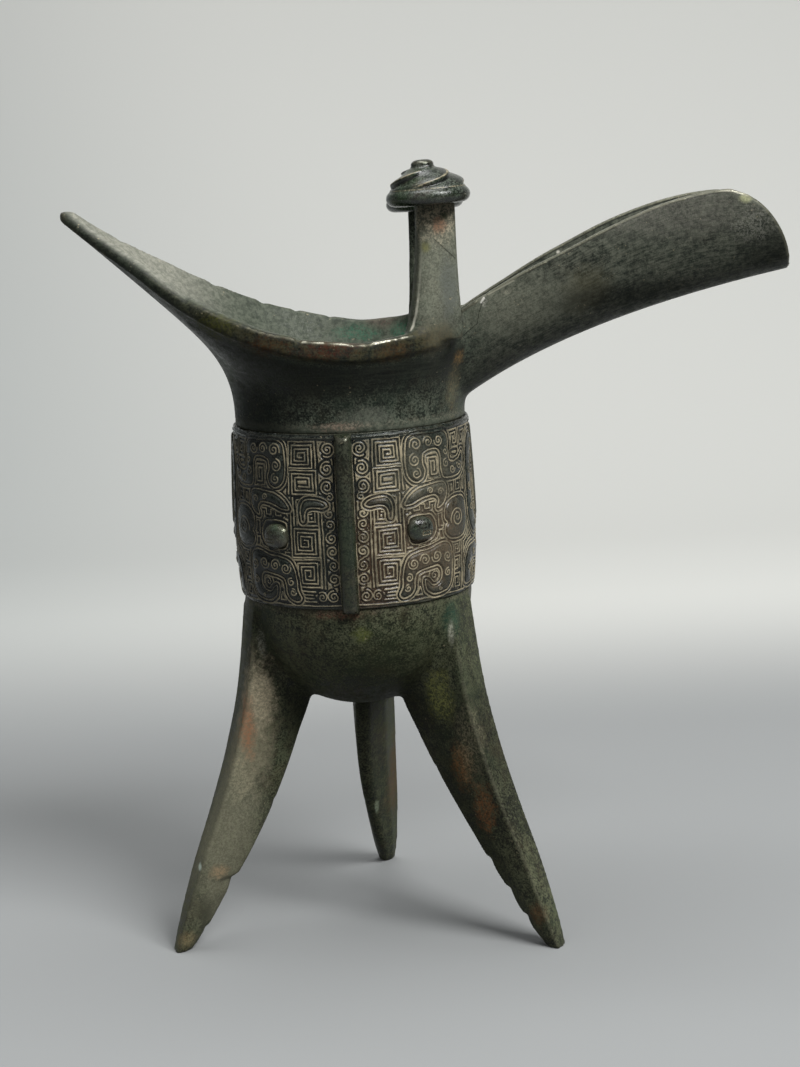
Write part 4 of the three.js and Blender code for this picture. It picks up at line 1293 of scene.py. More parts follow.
def head_skin():
    lines = evenly(flowing(HEAD_LINES, 10), HEAD_STEPS + 1)

    def point(around, across):
        out, share, high, low = lines[round(across * HEAD_STEPS)]
        angle = 2 * math.pi * around
        wide, tall = (math.copysign(abs(f(angle)) ** 0.7, f(angle)) for f in (math.cos, math.sin))
        brow = BROW_RISE * math.exp(-((out - BROW_OUT) / BROW_LENGTH) ** 2) * (tall > 0) * abs(wide)
        return head_turn @ Vector((
            head_face + out, HEAD_WIDTH / 2 * share * wide,
            BAND_TOP + (high + low) / 2 + (high - low) / 2 * tall + brow,
        ))

    return closed_skin("head_skin", HEAD_STEPS, HEAD_STEPS, point)


def horn_skin(side):
    line = evenly(flowing(HORN_LINE, 12), HORN_STEPS + 1)
    ahead = np.gradient(line, axis=0)

    def point(around, across):
        step = round(across * HORN_STEPS)
        along = Vector(ahead[step]).normalized()
        first = along.orthogonal().normalized()
        second = along.cross(first)
        radius = HORN_ROOT_RADIUS + (HORN_TIP_RADIUS - HORN_ROOT_RADIUS) * across
        angle = 2 * math.pi * around
        at = Vector(line[step]) + radius * (math.cos(angle) * first + math.sin(angle) * second)
        at += Vector(HORN_ROOT)
        return head_turn @ Vector((head_face + at.x, side * at.y, BAND_TOP + at.z))

    return closed_skin("horn_skin", HORN_SIDES, HORN_STEPS, point)


def knob_skin(out, side, rise, size):
    """A small oval swelling, for an eye, an ear or a nostril."""
    bm = bmesh.new()
    bmesh.ops.create_uvsphere(bm, u_segments=24, v_segments=16, radius=1)
    place = head_turn @ Vector((head_face + out, side, BAND_TOP + rise))
    bmesh.ops.transform(
        bm, verts=bm.verts,
        matrix=Matrix.Translation(place) @ head_turn.to_4x4() @ Matrix.Diagonal((*size, 1)),
    )
    return placed(closed(bm), "knob_skin")


# Each swelling: distance out, distance from the middle, height, and its half sizes
HEAD_KNOBS = {
    "eye": (10.2, 5.0, -2.6, (2.0, 1.6, 1.5)),
    "ear": (5.5, 7.2, -6.8, (1.6, 1.2, 2.2)),
    "nostril": (18.2, 2.0, -8.6, (1.0, 1.0, 1.1)),
}
head_parts = [head_skin(), horn_skin(-1), horn_skin(1)]
for side in (-1, 1):
    head_parts += [knob_skin(out, side * apart, rise, size) for out, apart, rise, size in HEAD_KNOBS.values()]
head = melted(head_parts, "beast_head", HEAD_VOXEL)
eased(head, 3)
dressed(head, ["handle_head", "spout_side_horn", "tail_side_horn"])

# %% [markdown]
# ## What the skins remember
# Patina isn't the same everywhere: hands have rubbed the outer edges bright, earth has stayed in the
# corners and the cuts, and the inside of the mouth kept a paler, greener bloom. Texture coordinates
# can't tell an edge from a flat, so the mesh itself is asked. How sharply it turns at each point is
# stored as an edge and a hollow value, and where a point lies on the vessel as an inside, a lip, a
# spout and a stroke value, with a painted lip shade value for the painted shade under the lip. The
# finish reads them like masks painted by hand.

# %% Edges, hollows and places
def remember_edges(made, width=0.8, sharp=0.5):
    """Stores 0 to 1 for outer edges and for inner corners, blurred over a width in mm."""
    skin = Skin(made)
    bulge = skin.bulge()
    spacing = np.linalg.norm(skin.place[skin.ends[:, 0]] - skin.place[skin.ends[:, 1]], axis=1).mean()
    rounds = max(2, round(2 * (width / spacing) ** 2))
    blurred = skin.spread(np.clip(bulge, -4, 4), rounds)
    skin.keep("edge", step_between(blurred, 0.16, sharp))
    skin.keep("hollow", step_between(-blurred, 0.05, 0.3))
    return skin


CHANNEL_FROM = 34
CHANNEL_HALF = 13.5
skin = remember_edges(upper)
x, y, z = skin.place.T
facing = skin.facing()
distance = np.hypot(x, y)
rim_distance, rim_height = rim_at(np.arctan2(y, x))
outwards = (facing[:, 0] * x + facing[:, 1] * y) / np.maximum(distance, 1)
in_spout = (x > CHANNEL_FROM) & (facing[:, 2] > 0.1) & (np.abs(y) < CHANNEL_HALF)
in_mouth = (distance < rim_distance - 0.6) & (x < CHANNEL_FROM) & (z < rim_height + 3)
in_mouth &= (outwards < 0.1) | (z < SEAM)
skin.keep("inside", skin.spread((in_mouth | in_spout).astype(float), 6))
on_lip = (z < rim_height + 1) & (z > rim_height - LIP_HEIGHT - 1) & (distance > rim_distance - 1.4) & (x < 27)
skin.keep("lip", skin.spread(on_lip.astype(float), 5))
# Painted shade under the lip: a dark band on the outer face, from just below the lip down to about 22 mm under the
# rim
under_lip = rim_height - z
lip_shade = step_between(under_lip, LIP_HEIGHT + 0.6, LIP_HEIGHT + 1.8) * (1 - step_between(under_lip, 7, 22))
skin.keep("painted_lip_shade", skin.spread(lip_shade * (outwards > -0.1) * (x < 30), 4))

# %% Places along the spout and on the near post's corner
NOWHERE = 5
EDGE_FROM = 29.5
CORNER_FROM = SEAM + 21
along = np.clip(x, KEEL[0][0] + 0.1, SPOUT_REACH)
trough_low, trough_high = (np.array([height_at(line, k) for k in along]) for line in (KEEL, SPOUT_EDGE))
trough_high += np.where(y < 0, np.interp(x, *near_shift.T), np.interp(x, *far_shift.T))
skin.keep("spout", step_between(x, 26, 40) * (z > SEAM + 2))
skin.keep("stroke", (z - trough_low) / (trough_high - trough_low))
outer_side = (x > EDGE_FROM) & (facing[:, 1] < 0.3)
skin.keep("below_edge", np.where(outer_side, np.clip(trough_high - z, -1, NOWHERE), NOWHERE))
corner = [spot for spot in post_corners["near"] if spot[2] > CORNER_FROM]
skin.keep("corner", np.min([np.linalg.norm(skin.place - spot, axis=1) for spot in corner], axis=0))

# %% The other pieces
remember_edges(lower)
remember_edges(head, 0.6)
for name, made in pieces.items():
    if "edge" not in made.data.attributes:
        remember_edges(made, 0.5)
print("edges found on", len(pieces), "pieces")

# %% [markdown]
# ## Building blocks for the finish
# Old bronze is layers: a dark oxide skin with clouds of olive and green, rubbed metal on the edges,
# pale earth in the cuts, and here and there a crust or a stain of its own colour. Each layer that
# more than one piece needs is a group with named inputs, made once. A material stacks them.

# %% Nodes and groups
def add(tree, kind, feeds=None, **settings):
    """A node with its settings, and a value or another node's output for each named input."""
    node = tree.nodes.new(kind)
    for key, value in settings.items():
        setattr(node, key, value)
    for socket, value in (feeds or {}).items():
        if isinstance(value, bpy.types.NodeSocket):
            tree.links.new(value, node.inputs[socket])
        else:
            node.inputs[socket].default_value = value
    return node


def group(name, inputs, outputs):
    """An empty group with its named sockets, and the nodes that stand for them."""
    tree = bpy.data.node_groups.new(name, "ShaderNodeTree")
    kinds = {"value": "NodeSocketFloat", "vector": "NodeSocketVector", "colour": "NodeSocketColor"}
    for label, kind in inputs.items():
        tree.interface.new_socket(label, in_out="INPUT", socket_type=kinds[kind])
    for label, kind in outputs.items():
        tree.interface.new_socket(label, in_out="OUTPUT", socket_type=kinds[kind])
    return tree, tree.nodes.new("NodeGroupInput").outputs, tree.nodes.new("NodeGroupOutput").inputs


def grain(tree, place, scale, detail=3.0, rough=0.6):
    """A cloudy value from 0 to 1 at a scale in clouds per metre."""
    feeds = {"Vector": place, "Scale": scale, "Detail": detail, "Roughness": rough}
    return add(tree, "ShaderNodeTexNoise", feeds).outputs["Fac"]


def ramp(tree, value, low, high, at_low=0.0, at_high=1.0):
    """Climbs smoothly from one value to another between two limits."""
    feeds = {"Value": value, "From Min": low, "From Max": high, "To Min": at_low, "To Max": at_high}
    return add(tree, "ShaderNodeMapRange", feeds, interpolation_type="SMOOTHSTEP").outputs["Result"]


def attribute(tree, name):
    """What the mesh remembers under this name."""
    return add(tree, "ShaderNodeAttribute", attribute_name=name).outputs["Fac"]


def vectors(tree, operation, *values, out="Vector"):
    """A step of vector arithmetic."""
    return add(tree, "ShaderNodeVectorMath", dict(enumerate(values)), operation=operation).outputs[out]


def sum_of(tree, *values, operation="ADD"):
    """Values put together, two at a time."""
    total = values[0]
    for value in values[1:]:
        total = add(tree, "ShaderNodeMath", {0: total, 1: value}, operation=operation).outputs[0]
    return total


def product_of(tree, *values):
    return sum_of(tree, *values, operation="MULTIPLY")


def larger_of(tree, *values):
    """The largest of the values that aren't None."""
    return sum_of(tree, *(value for value in values if value is not None), operation="MAXIMUM")


def blend(tree, under, over, share):
    """One colour over another where a mask says so."""
    return add(tree, "ShaderNodeMix", {0: share, 6: under, 7: over}, data_type="RGBA").outputs[2]


def shade(red, green, blue):
    """A colour written as it looks, from 0 to 255, in linear light."""
    return (*(((k / 255 + 0.055) / 1.055) ** 2.4 if k > 10 else k / 255 / 12.92 for k in (red, green, blue)), 1)


# %% The oxide skin
# Scale in clouds per metre, detail and roughness, and then each one's weight in the mixture
CLOUDS, MOTTLE, PITS = (45, 6, 0.65), (480, 6, 0.8), (2000, 4, 0.75)
GRAIN_WEIGHTS = (0.2, 0.34, 0.46)
GREEN_CLOUDS, BROWN_CLOUDS = (60, 6, 0.75), (80, 6, 0.78)
GREEN_SHIFT, BROWN_SHIFT = (0.37, 0.11, 0.53), (1.27, 0.31, 1.23)
skin_tree, given, out = group(
    "oxide_skin",
    {"Place": "vector", "Dark": "colour", "Pale": "colour", "Green": "colour", "Brown": "colour",
     "Pale Share": "value", "Green Share": "value", "Brown Share": "value"},
    {"Color": "colour", "Roughness": "value", "Height": "value"},
)
clouds, mottle, pits = (grain(skin_tree, given["Place"], *look) for look in (CLOUDS, MOTTLE, PITS))
mixed = sum_of(skin_tree, *(product_of(skin_tree, *pair) for pair in zip((clouds, mottle, pits), GRAIN_WEIGHTS)))
green_clouds = grain(skin_tree, vectors(skin_tree, "ADD", given["Place"], GREEN_SHIFT), *GREEN_CLOUDS)
brown_clouds = grain(skin_tree, vectors(skin_tree, "ADD", given["Place"], BROWN_SHIFT), *BROWN_CLOUDS)
colour = given["Dark"]
for tint, cloud, limits in (
    ("Pale", mixed, (0.455, 0.57)), ("Green", green_clouds, (0.44, 0.66)), ("Brown", brown_clouds, (0.46, 0.68)),
):
    share = product_of(skin_tree, ramp(skin_tree, cloud, *limits), given[tint + " Share"])
    colour = blend(skin_tree, colour, given[tint], share)
height = sum_of(skin_tree, product_of(skin_tree, mottle, 0.6), product_of(skin_tree, pits, 0.4))
skin_tree.links.new(colour, out["Color"])
skin_tree.links.new(ramp(skin_tree, mixed, 0.45, 0.58, 0.36, 0.66), out["Roughness"])
skin_tree.links.new(height, out["Height"])

# %% A stain, a crust or a patch of painted light and shade in one place
patch_tree, given, out = group(
    "stain_or_light_patch",
    {"Place": "vector", "Middle": "vector", "Reach": "vector", "Ragged": "value", "Speckle": "value"},
    {"Mask": "value"},
)
away = vectors(patch_tree, "SUBTRACT", given["Place"], given["Middle"])
away = vectors(patch_tree, "LENGTH", vectors(patch_tree, "DIVIDE", away, given["Reach"]), out="Value")
tears = sum_of(patch_tree, grain(patch_tree, given["Place"], 380, 6, 0.8), -0.5)
edge = ramp(patch_tree, sum_of(patch_tree, away, product_of(patch_tree, tears, given["Ragged"])), 0.3, 1.15, 1, 0)
specks = ramp(patch_tree, grain(patch_tree, given["Place"], 1500, 5, 0.8), 0.46, 0.57)
kept = sum_of(patch_tree, 1.0, product_of(patch_tree, given["Speckle"], sum_of(patch_tree, specks, -1.0)))
patch_tree.links.new(product_of(patch_tree, edge, kept), out["Mask"])

# %% A crack or a scratch
# Drawn as seen from the front: only places along and up the vessel count
FACE_ON = (1, 0, 1)
line_tree, given, out = group(
    "thin_line", {"Place": "vector", "From": "vector", "To": "vector", "Half Width": "value"}, {"Mask": "value"},
)
spot, start, end = (vectors(line_tree, "MULTIPLY", given[k], FACE_ON) for k in ("Place", "From", "To"))
run = vectors(line_tree, "SUBTRACT", end, start)
step = vectors(line_tree, "SUBTRACT", spot, start)
along = vectors(line_tree, "DOT_PRODUCT", step, run, out="Value")
length = vectors(line_tree, "DOT_PRODUCT", run, run, out="Value")
along = add(line_tree, "ShaderNodeMath", {0: along, 1: length}, operation="DIVIDE", use_clamp=True).outputs[0]
away = vectors(line_tree, "DISTANCE", step, vectors(line_tree, "MULTIPLY", run, along), out="Value")
widths = sum_of(line_tree, away, given["Half Width"], operation="DIVIDE")
frayed = product_of(line_tree, sum_of(line_tree, grain(line_tree, given["Place"], 1500, 4, 0.7), -0.5), 1.6)
line_tree.links.new(ramp(line_tree, sum_of(line_tree, widths, frayed), 0.5, 1.2, 1, 0), out["Mask"])

# %% Strokes of the polisher and the years
stroke_tree, given, out = group("strokes", {"Place": "vector", "Stretch": "vector"}, {"Value": "value"})
stretched = vectors(stroke_tree, "MULTIPLY", given["Place"], given["Stretch"])
stroke_tree.links.new(ramp(stroke_tree, grain(stroke_tree, stretched, 1.0, 4, 0.75), 0.3, 0.7), out["Value"])

# %% Earth specks and rubbed edges
speck_tree, given, out = group("earth_specks", {"Place": "vector", "Amount": "value"}, {"Mask": "value"})
fine_specks = grain(speck_tree, given["Place"], 1300, 2, 0.5)
beds = ramp(speck_tree, grain(speck_tree, given["Place"], 130, 4, 0.7), 0.45, 0.72)
plenty = product_of(speck_tree, sum_of(speck_tree, beds, given["Amount"]), 0.12)
speck_tree.links.new(ramp(speck_tree, sum_of(speck_tree, fine_specks, plenty), 0.77, 0.86), out["Mask"])

rub_tree, given, out = group("rubbed", {"Place": "vector", "Edge": "value"}, {"Mask": "value"})
uneven = product_of(rub_tree, grain(rub_tree, given["Place"], 260, 4, 0.7), 0.7)
rub_tree.links.new(ramp(rub_tree, sum_of(rub_tree, given["Edge"], uneven), 0.7, 1.35), out["Mask"])

# %% [markdown]
# ## The bronze itself
# One function stacks the layers for every piece. It takes the piece's own skin colours and a list
# of the stains that the photograph shows, each at its place on the vessel in millimetres from the
# axis; some of these are patches of painted light and shade. Rubbed and polished edges are the only
# bright metal, and the polished ones are painted near white as highlights; the oxide is dark and
# satin, and earth is dull.

# %% Marks at a place
EARTH = shade(182, 170, 140)
THREAD_EARTH = shade(186, 174, 144)
# Painted shade for the ground beside the threads and for the corners of the cap's whorls
RECESS_SHADE = shade(11, 13, 10)
RUBBED = shade(112, 110, 94)
# Near white for polished edges: worn metal, painted as bright as a highlight
POLISH_HIGHLIGHT = shade(226, 222, 204)


def mark_at(tree, place, middle, reach, ragged, speckle):
    """The mask of a mark at a place in millimetres from the vessel's axis."""
    middle, reach = AXIS + Vector(middle) * MM, Vector(reach) * MM
    feeds = {"Place": place, "Middle": middle, "Reach": reach, "Ragged": ragged, "Speckle": speckle}
    return add(tree, "ShaderNodeGroup", feeds, node_tree=patch_tree).outputs["Mask"]


def stains_and_painted_light(tree, place, colour, stains_and_light):
    """Lays stains, and patches of painted light and shade, over a colour. Gives the new colour and the mask of all
    of them.
    """
    cover = None
    for middle, reach, tint, strength, ragged, speckle in stains_and_light:
        share = product_of(tree, mark_at(tree, place, middle, reach, ragged, speckle), strength)
        colour = blend(tree, colour, shade(*tint), share)
        cover = larger_of(tree, cover, share)
    return colour, cover


def highlighted_polish(tree, place, colour, bare, polish_highlights):
    """Brightens the sharp edges within each mark, as worn metal painted near white as a highlight. Gives the new
    colour and the mask of bare metal.
    """
    for middle, reach, strength, sharp in polish_highlights:
        edges = ramp(tree, attribute(tree, "edge"), sharp, sharp + 0.4)
        bright = product_of(tree, mark_at(tree, place, middle, reach, 0.4, 0), edges, strength)
        colour = blend(tree, colour, POLISH_HIGHLIGHT, bright)
        bare = larger_of(tree, bare, bright)
    return colour, bare


def scratched(tree, place, colour, lines):
    """Draws cracks and scratches, each a path along and up the vessel, on the skin between two depths."""
    depth = add(tree, "ShaderNodeSeparateXYZ", {"Vector": place}).outputs["Y"]
    for path, depths, half_width, tint, strength in lines:
        drawn_on = None
        spots = [AXIS + Vector((along, 0, up)) * MM for along, up in path]
        for start, end in zip(spots, spots[1:]):
            feeds = {"Place": place, "From": start, "To": end, "Half Width": half_width * MM}
            mask = add(tree, "ShaderNodeGroup", feeds, node_tree=line_tree).outputs["Mask"]
            drawn_on = larger_of(tree, drawn_on, mask)
        front, back = (AXIS.y + k * MM for k in depths)
        within = product_of(tree, ramp(tree, depth, front - MM, front), ramp(tree, depth, back, back + MM, 1, 0))
        colour = blend(tree, colour, shade(*tint), product_of(tree, drawn_on, within, strength))
    return colour


# %% Stacking the layers
def bronze(name, colours, shares, extra=None, strokes=None, stains_and_light=(), specks=0.3, rub=0.8, polish_highlights=(), cuts=0,
           lines=(), painted_shade=(), gloss=0, bump=0.35, shine=0.15):
    """A bronze from its dark, pale, green and brown colours, with all its layers in their order."""
    material = bpy.data.materials.new(name)
    material.use_nodes = True
    tree = material.node_tree
    face = tree.nodes["Principled BSDF"]
    place = add(tree, "ShaderNodeTexCoord").outputs["Object"]
    feeds = {"Place": place}
    for tint, value in zip(("Dark", "Pale", "Green", "Brown"), colours):
        feeds[tint] = shade(*value)
    for tint, share in zip(("Pale", "Green", "Brown"), shares):
        feeds[tint + " Share"] = share
    base = add(tree, "ShaderNodeGroup", feeds, node_tree=skin_tree)
    colour, roughness = base.outputs["Color"], base.outputs["Roughness"]
    if extra:
        colour = extra(tree, place, colour)
    if strokes:
        feeds = {"Place": place, "Stretch": strokes}
        brushed = add(tree, "ShaderNodeGroup", feeds, node_tree=stroke_tree).outputs["Value"]
        colour = blend(tree, colour, shade(*colours[1]), product_of(tree, brushed, 0.14))
        roughness = sum_of(tree, roughness, product_of(tree, brushed, 0.1))
    if cuts:
        drawn = attribute(tree, "earth_and_shade")
        # Painted shade in the ground beside the threads and in the whorl corners
        colour = blend(tree, colour, RECESS_SHADE, ramp(tree, drawn, -0.85, -0.15, 0.85, 0))
    colour, dull = stains_and_painted_light(tree, place, colour, stains_and_light)

    amount = sum_of(tree, product_of(tree, attribute(tree, "hollow"), 0.8), specks)
    speckled = add(tree, "ShaderNodeGroup", {"Place": place, "Amount": amount}, node_tree=speck_tree)
    colour = blend(tree, colour, EARTH, product_of(tree, speckled.outputs["Mask"], 0.5))
    rubbed = add(tree, "ShaderNodeGroup", {"Place": place, "Edge": attribute(tree, "edge")}, node_tree=rub_tree)
    bare = product_of(tree, rubbed.outputs["Mask"], rub)
    colour = blend(tree, colour, RUBBED, product_of(tree, bare, 0.75))
    colour, bare = highlighted_polish(tree, place, colour, bare, polish_highlights)
    if cuts:
        uneven = ramp(tree, grain(tree, place, 150, 6, 0.8), 0.38, 0.6, 0.3, 1)
        crumbs = product_of(tree, grain(tree, place, 1000, 4, 0.7), 0.8)
        earth = product_of(tree, ramp(tree, sum_of(tree, drawn, crumbs), 0.68, 1.12), uneven)
        colour = blend(tree, colour, THREAD_EARTH, product_of(tree, earth, cuts))
        dull = larger_of(tree, dull, earth)
    colour = scratched(tree, place, colour, lines)
    # Painted shade, laid last over the finish
    colour, _ = stains_and_painted_light(tree, place, colour, painted_shade)

    roughness = sum_of(tree, roughness, product_of(tree, bare, -0.15), -gloss)
    metal = sum_of(tree, product_of(tree, bare, 0.75), 0.1)
    if dull:
        roughness = sum_of(tree, roughness, product_of(tree, dull, 0.25))
        metal = sum_of(tree, metal, product_of(tree, dull, -0.1))
    feeds = {"Height": base.outputs["Height"], "Strength": bump, "Distance": 0.6 * MM}
    tree.links.new(colour, face.inputs["Base Color"])
    tree.links.new(ramp(tree, roughness, 0, 1), face.inputs["Roughness"])
    tree.links.new(ramp(tree, metal, 0, 1), face.inputs["Metallic"])
    tree.links.new(add(tree, "ShaderNodeBump", feeds).outputs["Normal"], face.inputs["Normal"])
    face.inputs["Specular IOR Level"].default_value = shine
    return material


def paint(made, material):
    """Gives an object this finish alone."""
    made.data.materials.clear()
    made.data.materials.append(material)


# %% Above the band
# Stains, and among them patches of painted light and shade. Each: its middle, its reach, its colour, strength,
# raggedness and speckle
UPPER_STAINS_AND_LIGHT = [
    ((24, -27, 176), (9, 6, 22), (146, 148, 130), 0.85, 1.0, 0.45),
    ((26.5, -27, 172), (3, 5, 10), (96, 102, 102), 0.6, 1.6, 0.5),
    ((23.5, -28.5, 160), (7, 5, 5), (84, 72, 46), 0.6, 2.0, 0.6),
    ((24, -27.5, 189.5), (7, 3, 7), (214, 200, 172), 0.85, 1.8, 0.9),
    ((24.6, -27.6, 187.6), (2.2, 2, 2.6), (176, 120, 88), 0.7, 1.6, 0.6),
    ((21, -28, 182.5), (1.4, 2, 1.8), (132, 130, 70), 0.65, 1.4, 0.4),
    ((26, -28, 190), (1.4, 2, 1.4), (44, 66, 40), 0.8, 1.2, 0.2),
    ((28.5, -17.5, 153.8), (2.2, 4, 2.6), (172, 138, 92), 0.65, 1.8, 0.8),
    ((27, -15.5, 146), (2.4, 5, 9), (138, 128, 98), 0.6, 1.8, 0.85),
    ((-2, -29.8, 139.4), (9, 3, 1.4), (168, 140, 122), 0.65, 2.0, 0.9),
    # Painted sheen: a pale patch at the neck's foot, right of the middle
    ((6, -29.8, 141.5), (10, 3, 3.2), (116, 118, 106), 0.5, 1.4, 0.5),
    ((0, 0, 139.5), (60, 60, 1.2), (140, 138, 120), 0.5, 2.0, 1.0),
    # Painted shade: the neck's left side darkened
    ((-24, -20, 141), (16, 16, 14), (8, 12, 10), 0.75, 1.0, 0.2),
    ((3.7, 31.1, 157.5), (9, 4, 3), (50, 118, 92), 0.5, 2.2, 0.8),
    ((15.2, 26.9, 158.0), (5, 5, 3), (50, 118, 92), 0.5, 2.2, 0.8),
    ((9, 31, 160), (6, 5, 3), (120, 92, 86), 0.4, 2.0, 0.7),
    ((62, -14, 168), (8, 5, 9), (84, 78, 52), 0.5, 1.4, 0.3),
    # Painted light and shade on the spout: paler along its middle and upper part, dark along its keel
    ((46, -15, 166), (24, 5, 9), (142, 144, 126), 0.55, 1.2, 0.6),
    ((80, -14, 188), (34, 5, 8), (132, 130, 120), 0.5, 1.2, 0.6),
    ((80, -12, 167), (40, 6, 5), (14, 18, 16), 0.75, 1.0, 0.3),
    ((108, -12, 178), (10, 6, 12), (20, 25, 20), 0.65, 1.2, 0.3),
    ((102, -14.1, 190.4), (1.9, 2.5, 1.4), (196, 198, 156), 0.9, 1.2, 0.3),
    ((56.6, 12.9, 177.7), (0.6, 1.5, 0.6), (222, 218, 204), 0.9, 0.3, 0.0),
    ((104, -13.4, 183.4), (7, 5, 6), (160, 160, 148), 0.5, 1.6, 1.0),
    ((35.3, -16.1, 167.8), (1.0, 3, 2), (190, 188, 176), 0.6, 1.6, 0.8),
    ((41, -15.5, 169.8), (2, 3, 0.9), (170, 166, 146), 0.5, 1.6, 0.8),
    ((-4, -36, 159.2), (10, 4, 2.8), (84, 38, 26), 0.6, 2.4, 0.8),
    ((-19, -33, 160.5), (7, 6, 3), (84, 52, 24), 0.6, 2.4, 0.75),
    ((-32, -28, 165), (8, 7, 4), (84, 86, 30), 0.6, 2.2, 0.75),
    ((12, -33, 157.5), (7, 4, 3), (88, 62, 34), 0.5, 2.4, 0.75),
]
# Each polished stretch, worn metal painted near white as a highlight: its middle, its reach, its strength and how
# sharp an edge must be
UPPER_POLISH_HIGHLIGHTS = [
    ((-1, -35, 160.9), (17, 4, 1.5), 0.75, 0.68),
    ((12, -33, 160.6), (7, 4, 1.4), 0.9, 0.6),
    ((99, -14, 191.3), (5, 3, 2), 0.35, 0.5),
]
CRACK = (10, 12, 9)
# Each crack or scratch: its path along and up, its depths, half width, colour and strength
UPPER_LINES = [
    ([(23.4, 184.2), (25.6, 182.0), (28.2, 179.4)], (-32, -24), 0.16, CRACK, 0.55),
    ([(35.2, 168.4), (34.0, 165.0), (33.4, 162.2), (31.0, 160.4), (28.2, 158.2)], (-32, -12), 0.16, CRACK, 0.55),
    ([(29.4, 165.6), (29.7, 162.4)], (-32, -12), 0.4, CRACK, 0.4),
    ([(34.6, 167.6), (35.3, 168.6)], (-20, -12), 0.3, (214, 212, 202), 0.9),
    ([(36.5, 169.4), (41.5, 171.9), (43, 172.6)], (-20, -12), 0.22, (160, 158, 140), 0.55),
]


def mouth_and_lip(tree, place, colour):
    """The mouth's inside is paler and greener, and paler still towards the tail. The lip is browner, and the neck
    below it is darkened as painted shade.
    """
    along = add(tree, "ShaderNodeSeparateXYZ", {"Vector": place}).outputs["X"]
    to_tail = ramp(tree, along, AXIS.x - 50 * MM, AXIS.x - 26 * MM, 1, 0)
    mottled = ramp(tree, grain(tree, place, 700, 6, 0.8), 0.4, 0.6)
    inside = blend(tree, shade(62, 68, 58), shade(96, 101, 88), mottled)
    # Towards the tail the inside is paler still
    paler_to_tail = blend(tree, shade(126, 127, 116), shade(164, 163, 150), mottled)
    inside = blend(tree, inside, paler_to_tail, to_tail)
    colour = blend(tree, colour, inside, product_of(tree, attribute(tree, "inside"), 0.85))
    rusty = ramp(tree, grain(tree, place, 500, 6, 0.8), 0.42, 0.6)
    brown_lip = blend(tree, shade(12, 13, 8), shade(62, 58, 36), rusty)
    dark_lip = blend(tree, shade(7, 10, 7), shade(38, 44, 34), rusty)
    lip = blend(tree, brown_lip, dark_lip, to_tail)
    colour = blend(tree, colour, lip, product_of(tree, attribute(tree, "lip"), 0.85))
    # Painted shade: the neck under the lip is darkened
    return blend(tree, colour, shade(9, 10, 7), product_of(tree, attribute(tree, "painted_lip_shade"), 0.85))


def spout_and_post(tree, place, colour):
    """Strokes run along the spout, a painted shadow line runs just under its near edge below a thin painted
    highlight, and the near post's corner is worn bright with a painted highlight.
    """
    spread = add(tree, "ShaderNodeSeparateXYZ", {"Vector": place}).outputs
    along, across = product_of(tree, spread["X"], 240.0), product_of(tree, attribute(tree, "stroke"), 50.0)
    path = add(tree, "ShaderNodeCombineXYZ", {"X": along, "Y": across}).outputs[0]
    strokes, mottle = grain(tree, path, 1.0, 6, 0.8), grain(tree, place, 600, 6, 0.8)
    brushed = sum_of(tree, product_of(tree, strokes, 0.45), product_of(tree, mottle, 0.55))
    spout = blend(tree, shade(30, 34, 31), shade(122, 124, 110), ramp(tree, brushed, 0.42, 0.6))
    colour = blend(tree, colour, spout, product_of(tree, attribute(tree, "spout"), 0.7))
    # Painted shadow: a thin dark line about 0.4 to 1 mm under the spout's near edge; the edge's top 0.3 mm is
    # painted paler as a highlight
    below = attribute(tree, "below_edge")
    shadow_line_under_edge = product_of(tree, ramp(tree, below, 0.35, 0.6), ramp(tree, below, 0.75, 1.05, 1, 0))
    colour = blend(tree, colour, shade(12, 15, 13), product_of(tree, shadow_line_under_edge, 0.85))
    colour = blend(tree, colour, shade(150, 150, 136), product_of(tree, ramp(tree, below, 0.05, 0.3, 1, 0), 0.3))
    # The near post's left corner: worn metal, painted near white as a highlight, strongest towards its foot
    corner_highlight = ramp(tree, attribute(tree, "corner"), 0.15, 0.55, 0.9, 0)
    at_foot = ramp(tree, spread["Z"], 166 * MM, 184 * MM, 1, 0.1)
    return blend(tree, colour, POLISH_HIGHLIGHT, product_of(tree, corner_highlight, at_foot))


def upper_extra(tree, place, colour):
    return spout_and_post(tree, place, mouth_and_lip(tree, place, colour))


# Dark, pale, green and brown
DARK_COLOURS = ((8, 13, 11), (106, 113, 98), (38, 58, 46), (62, 52, 36))
paint(upper, bronze(
    "upper_bronze", DARK_COLOURS, (0.9, 0.4, 0.3), upper_extra, (90, 90, 1500), UPPER_STAINS_AND_LIGHT,
    specks=0.25, rub=0.7, polish_highlights=UPPER_POLISH_HIGHLIGHTS, lines=UPPER_LINES,
))

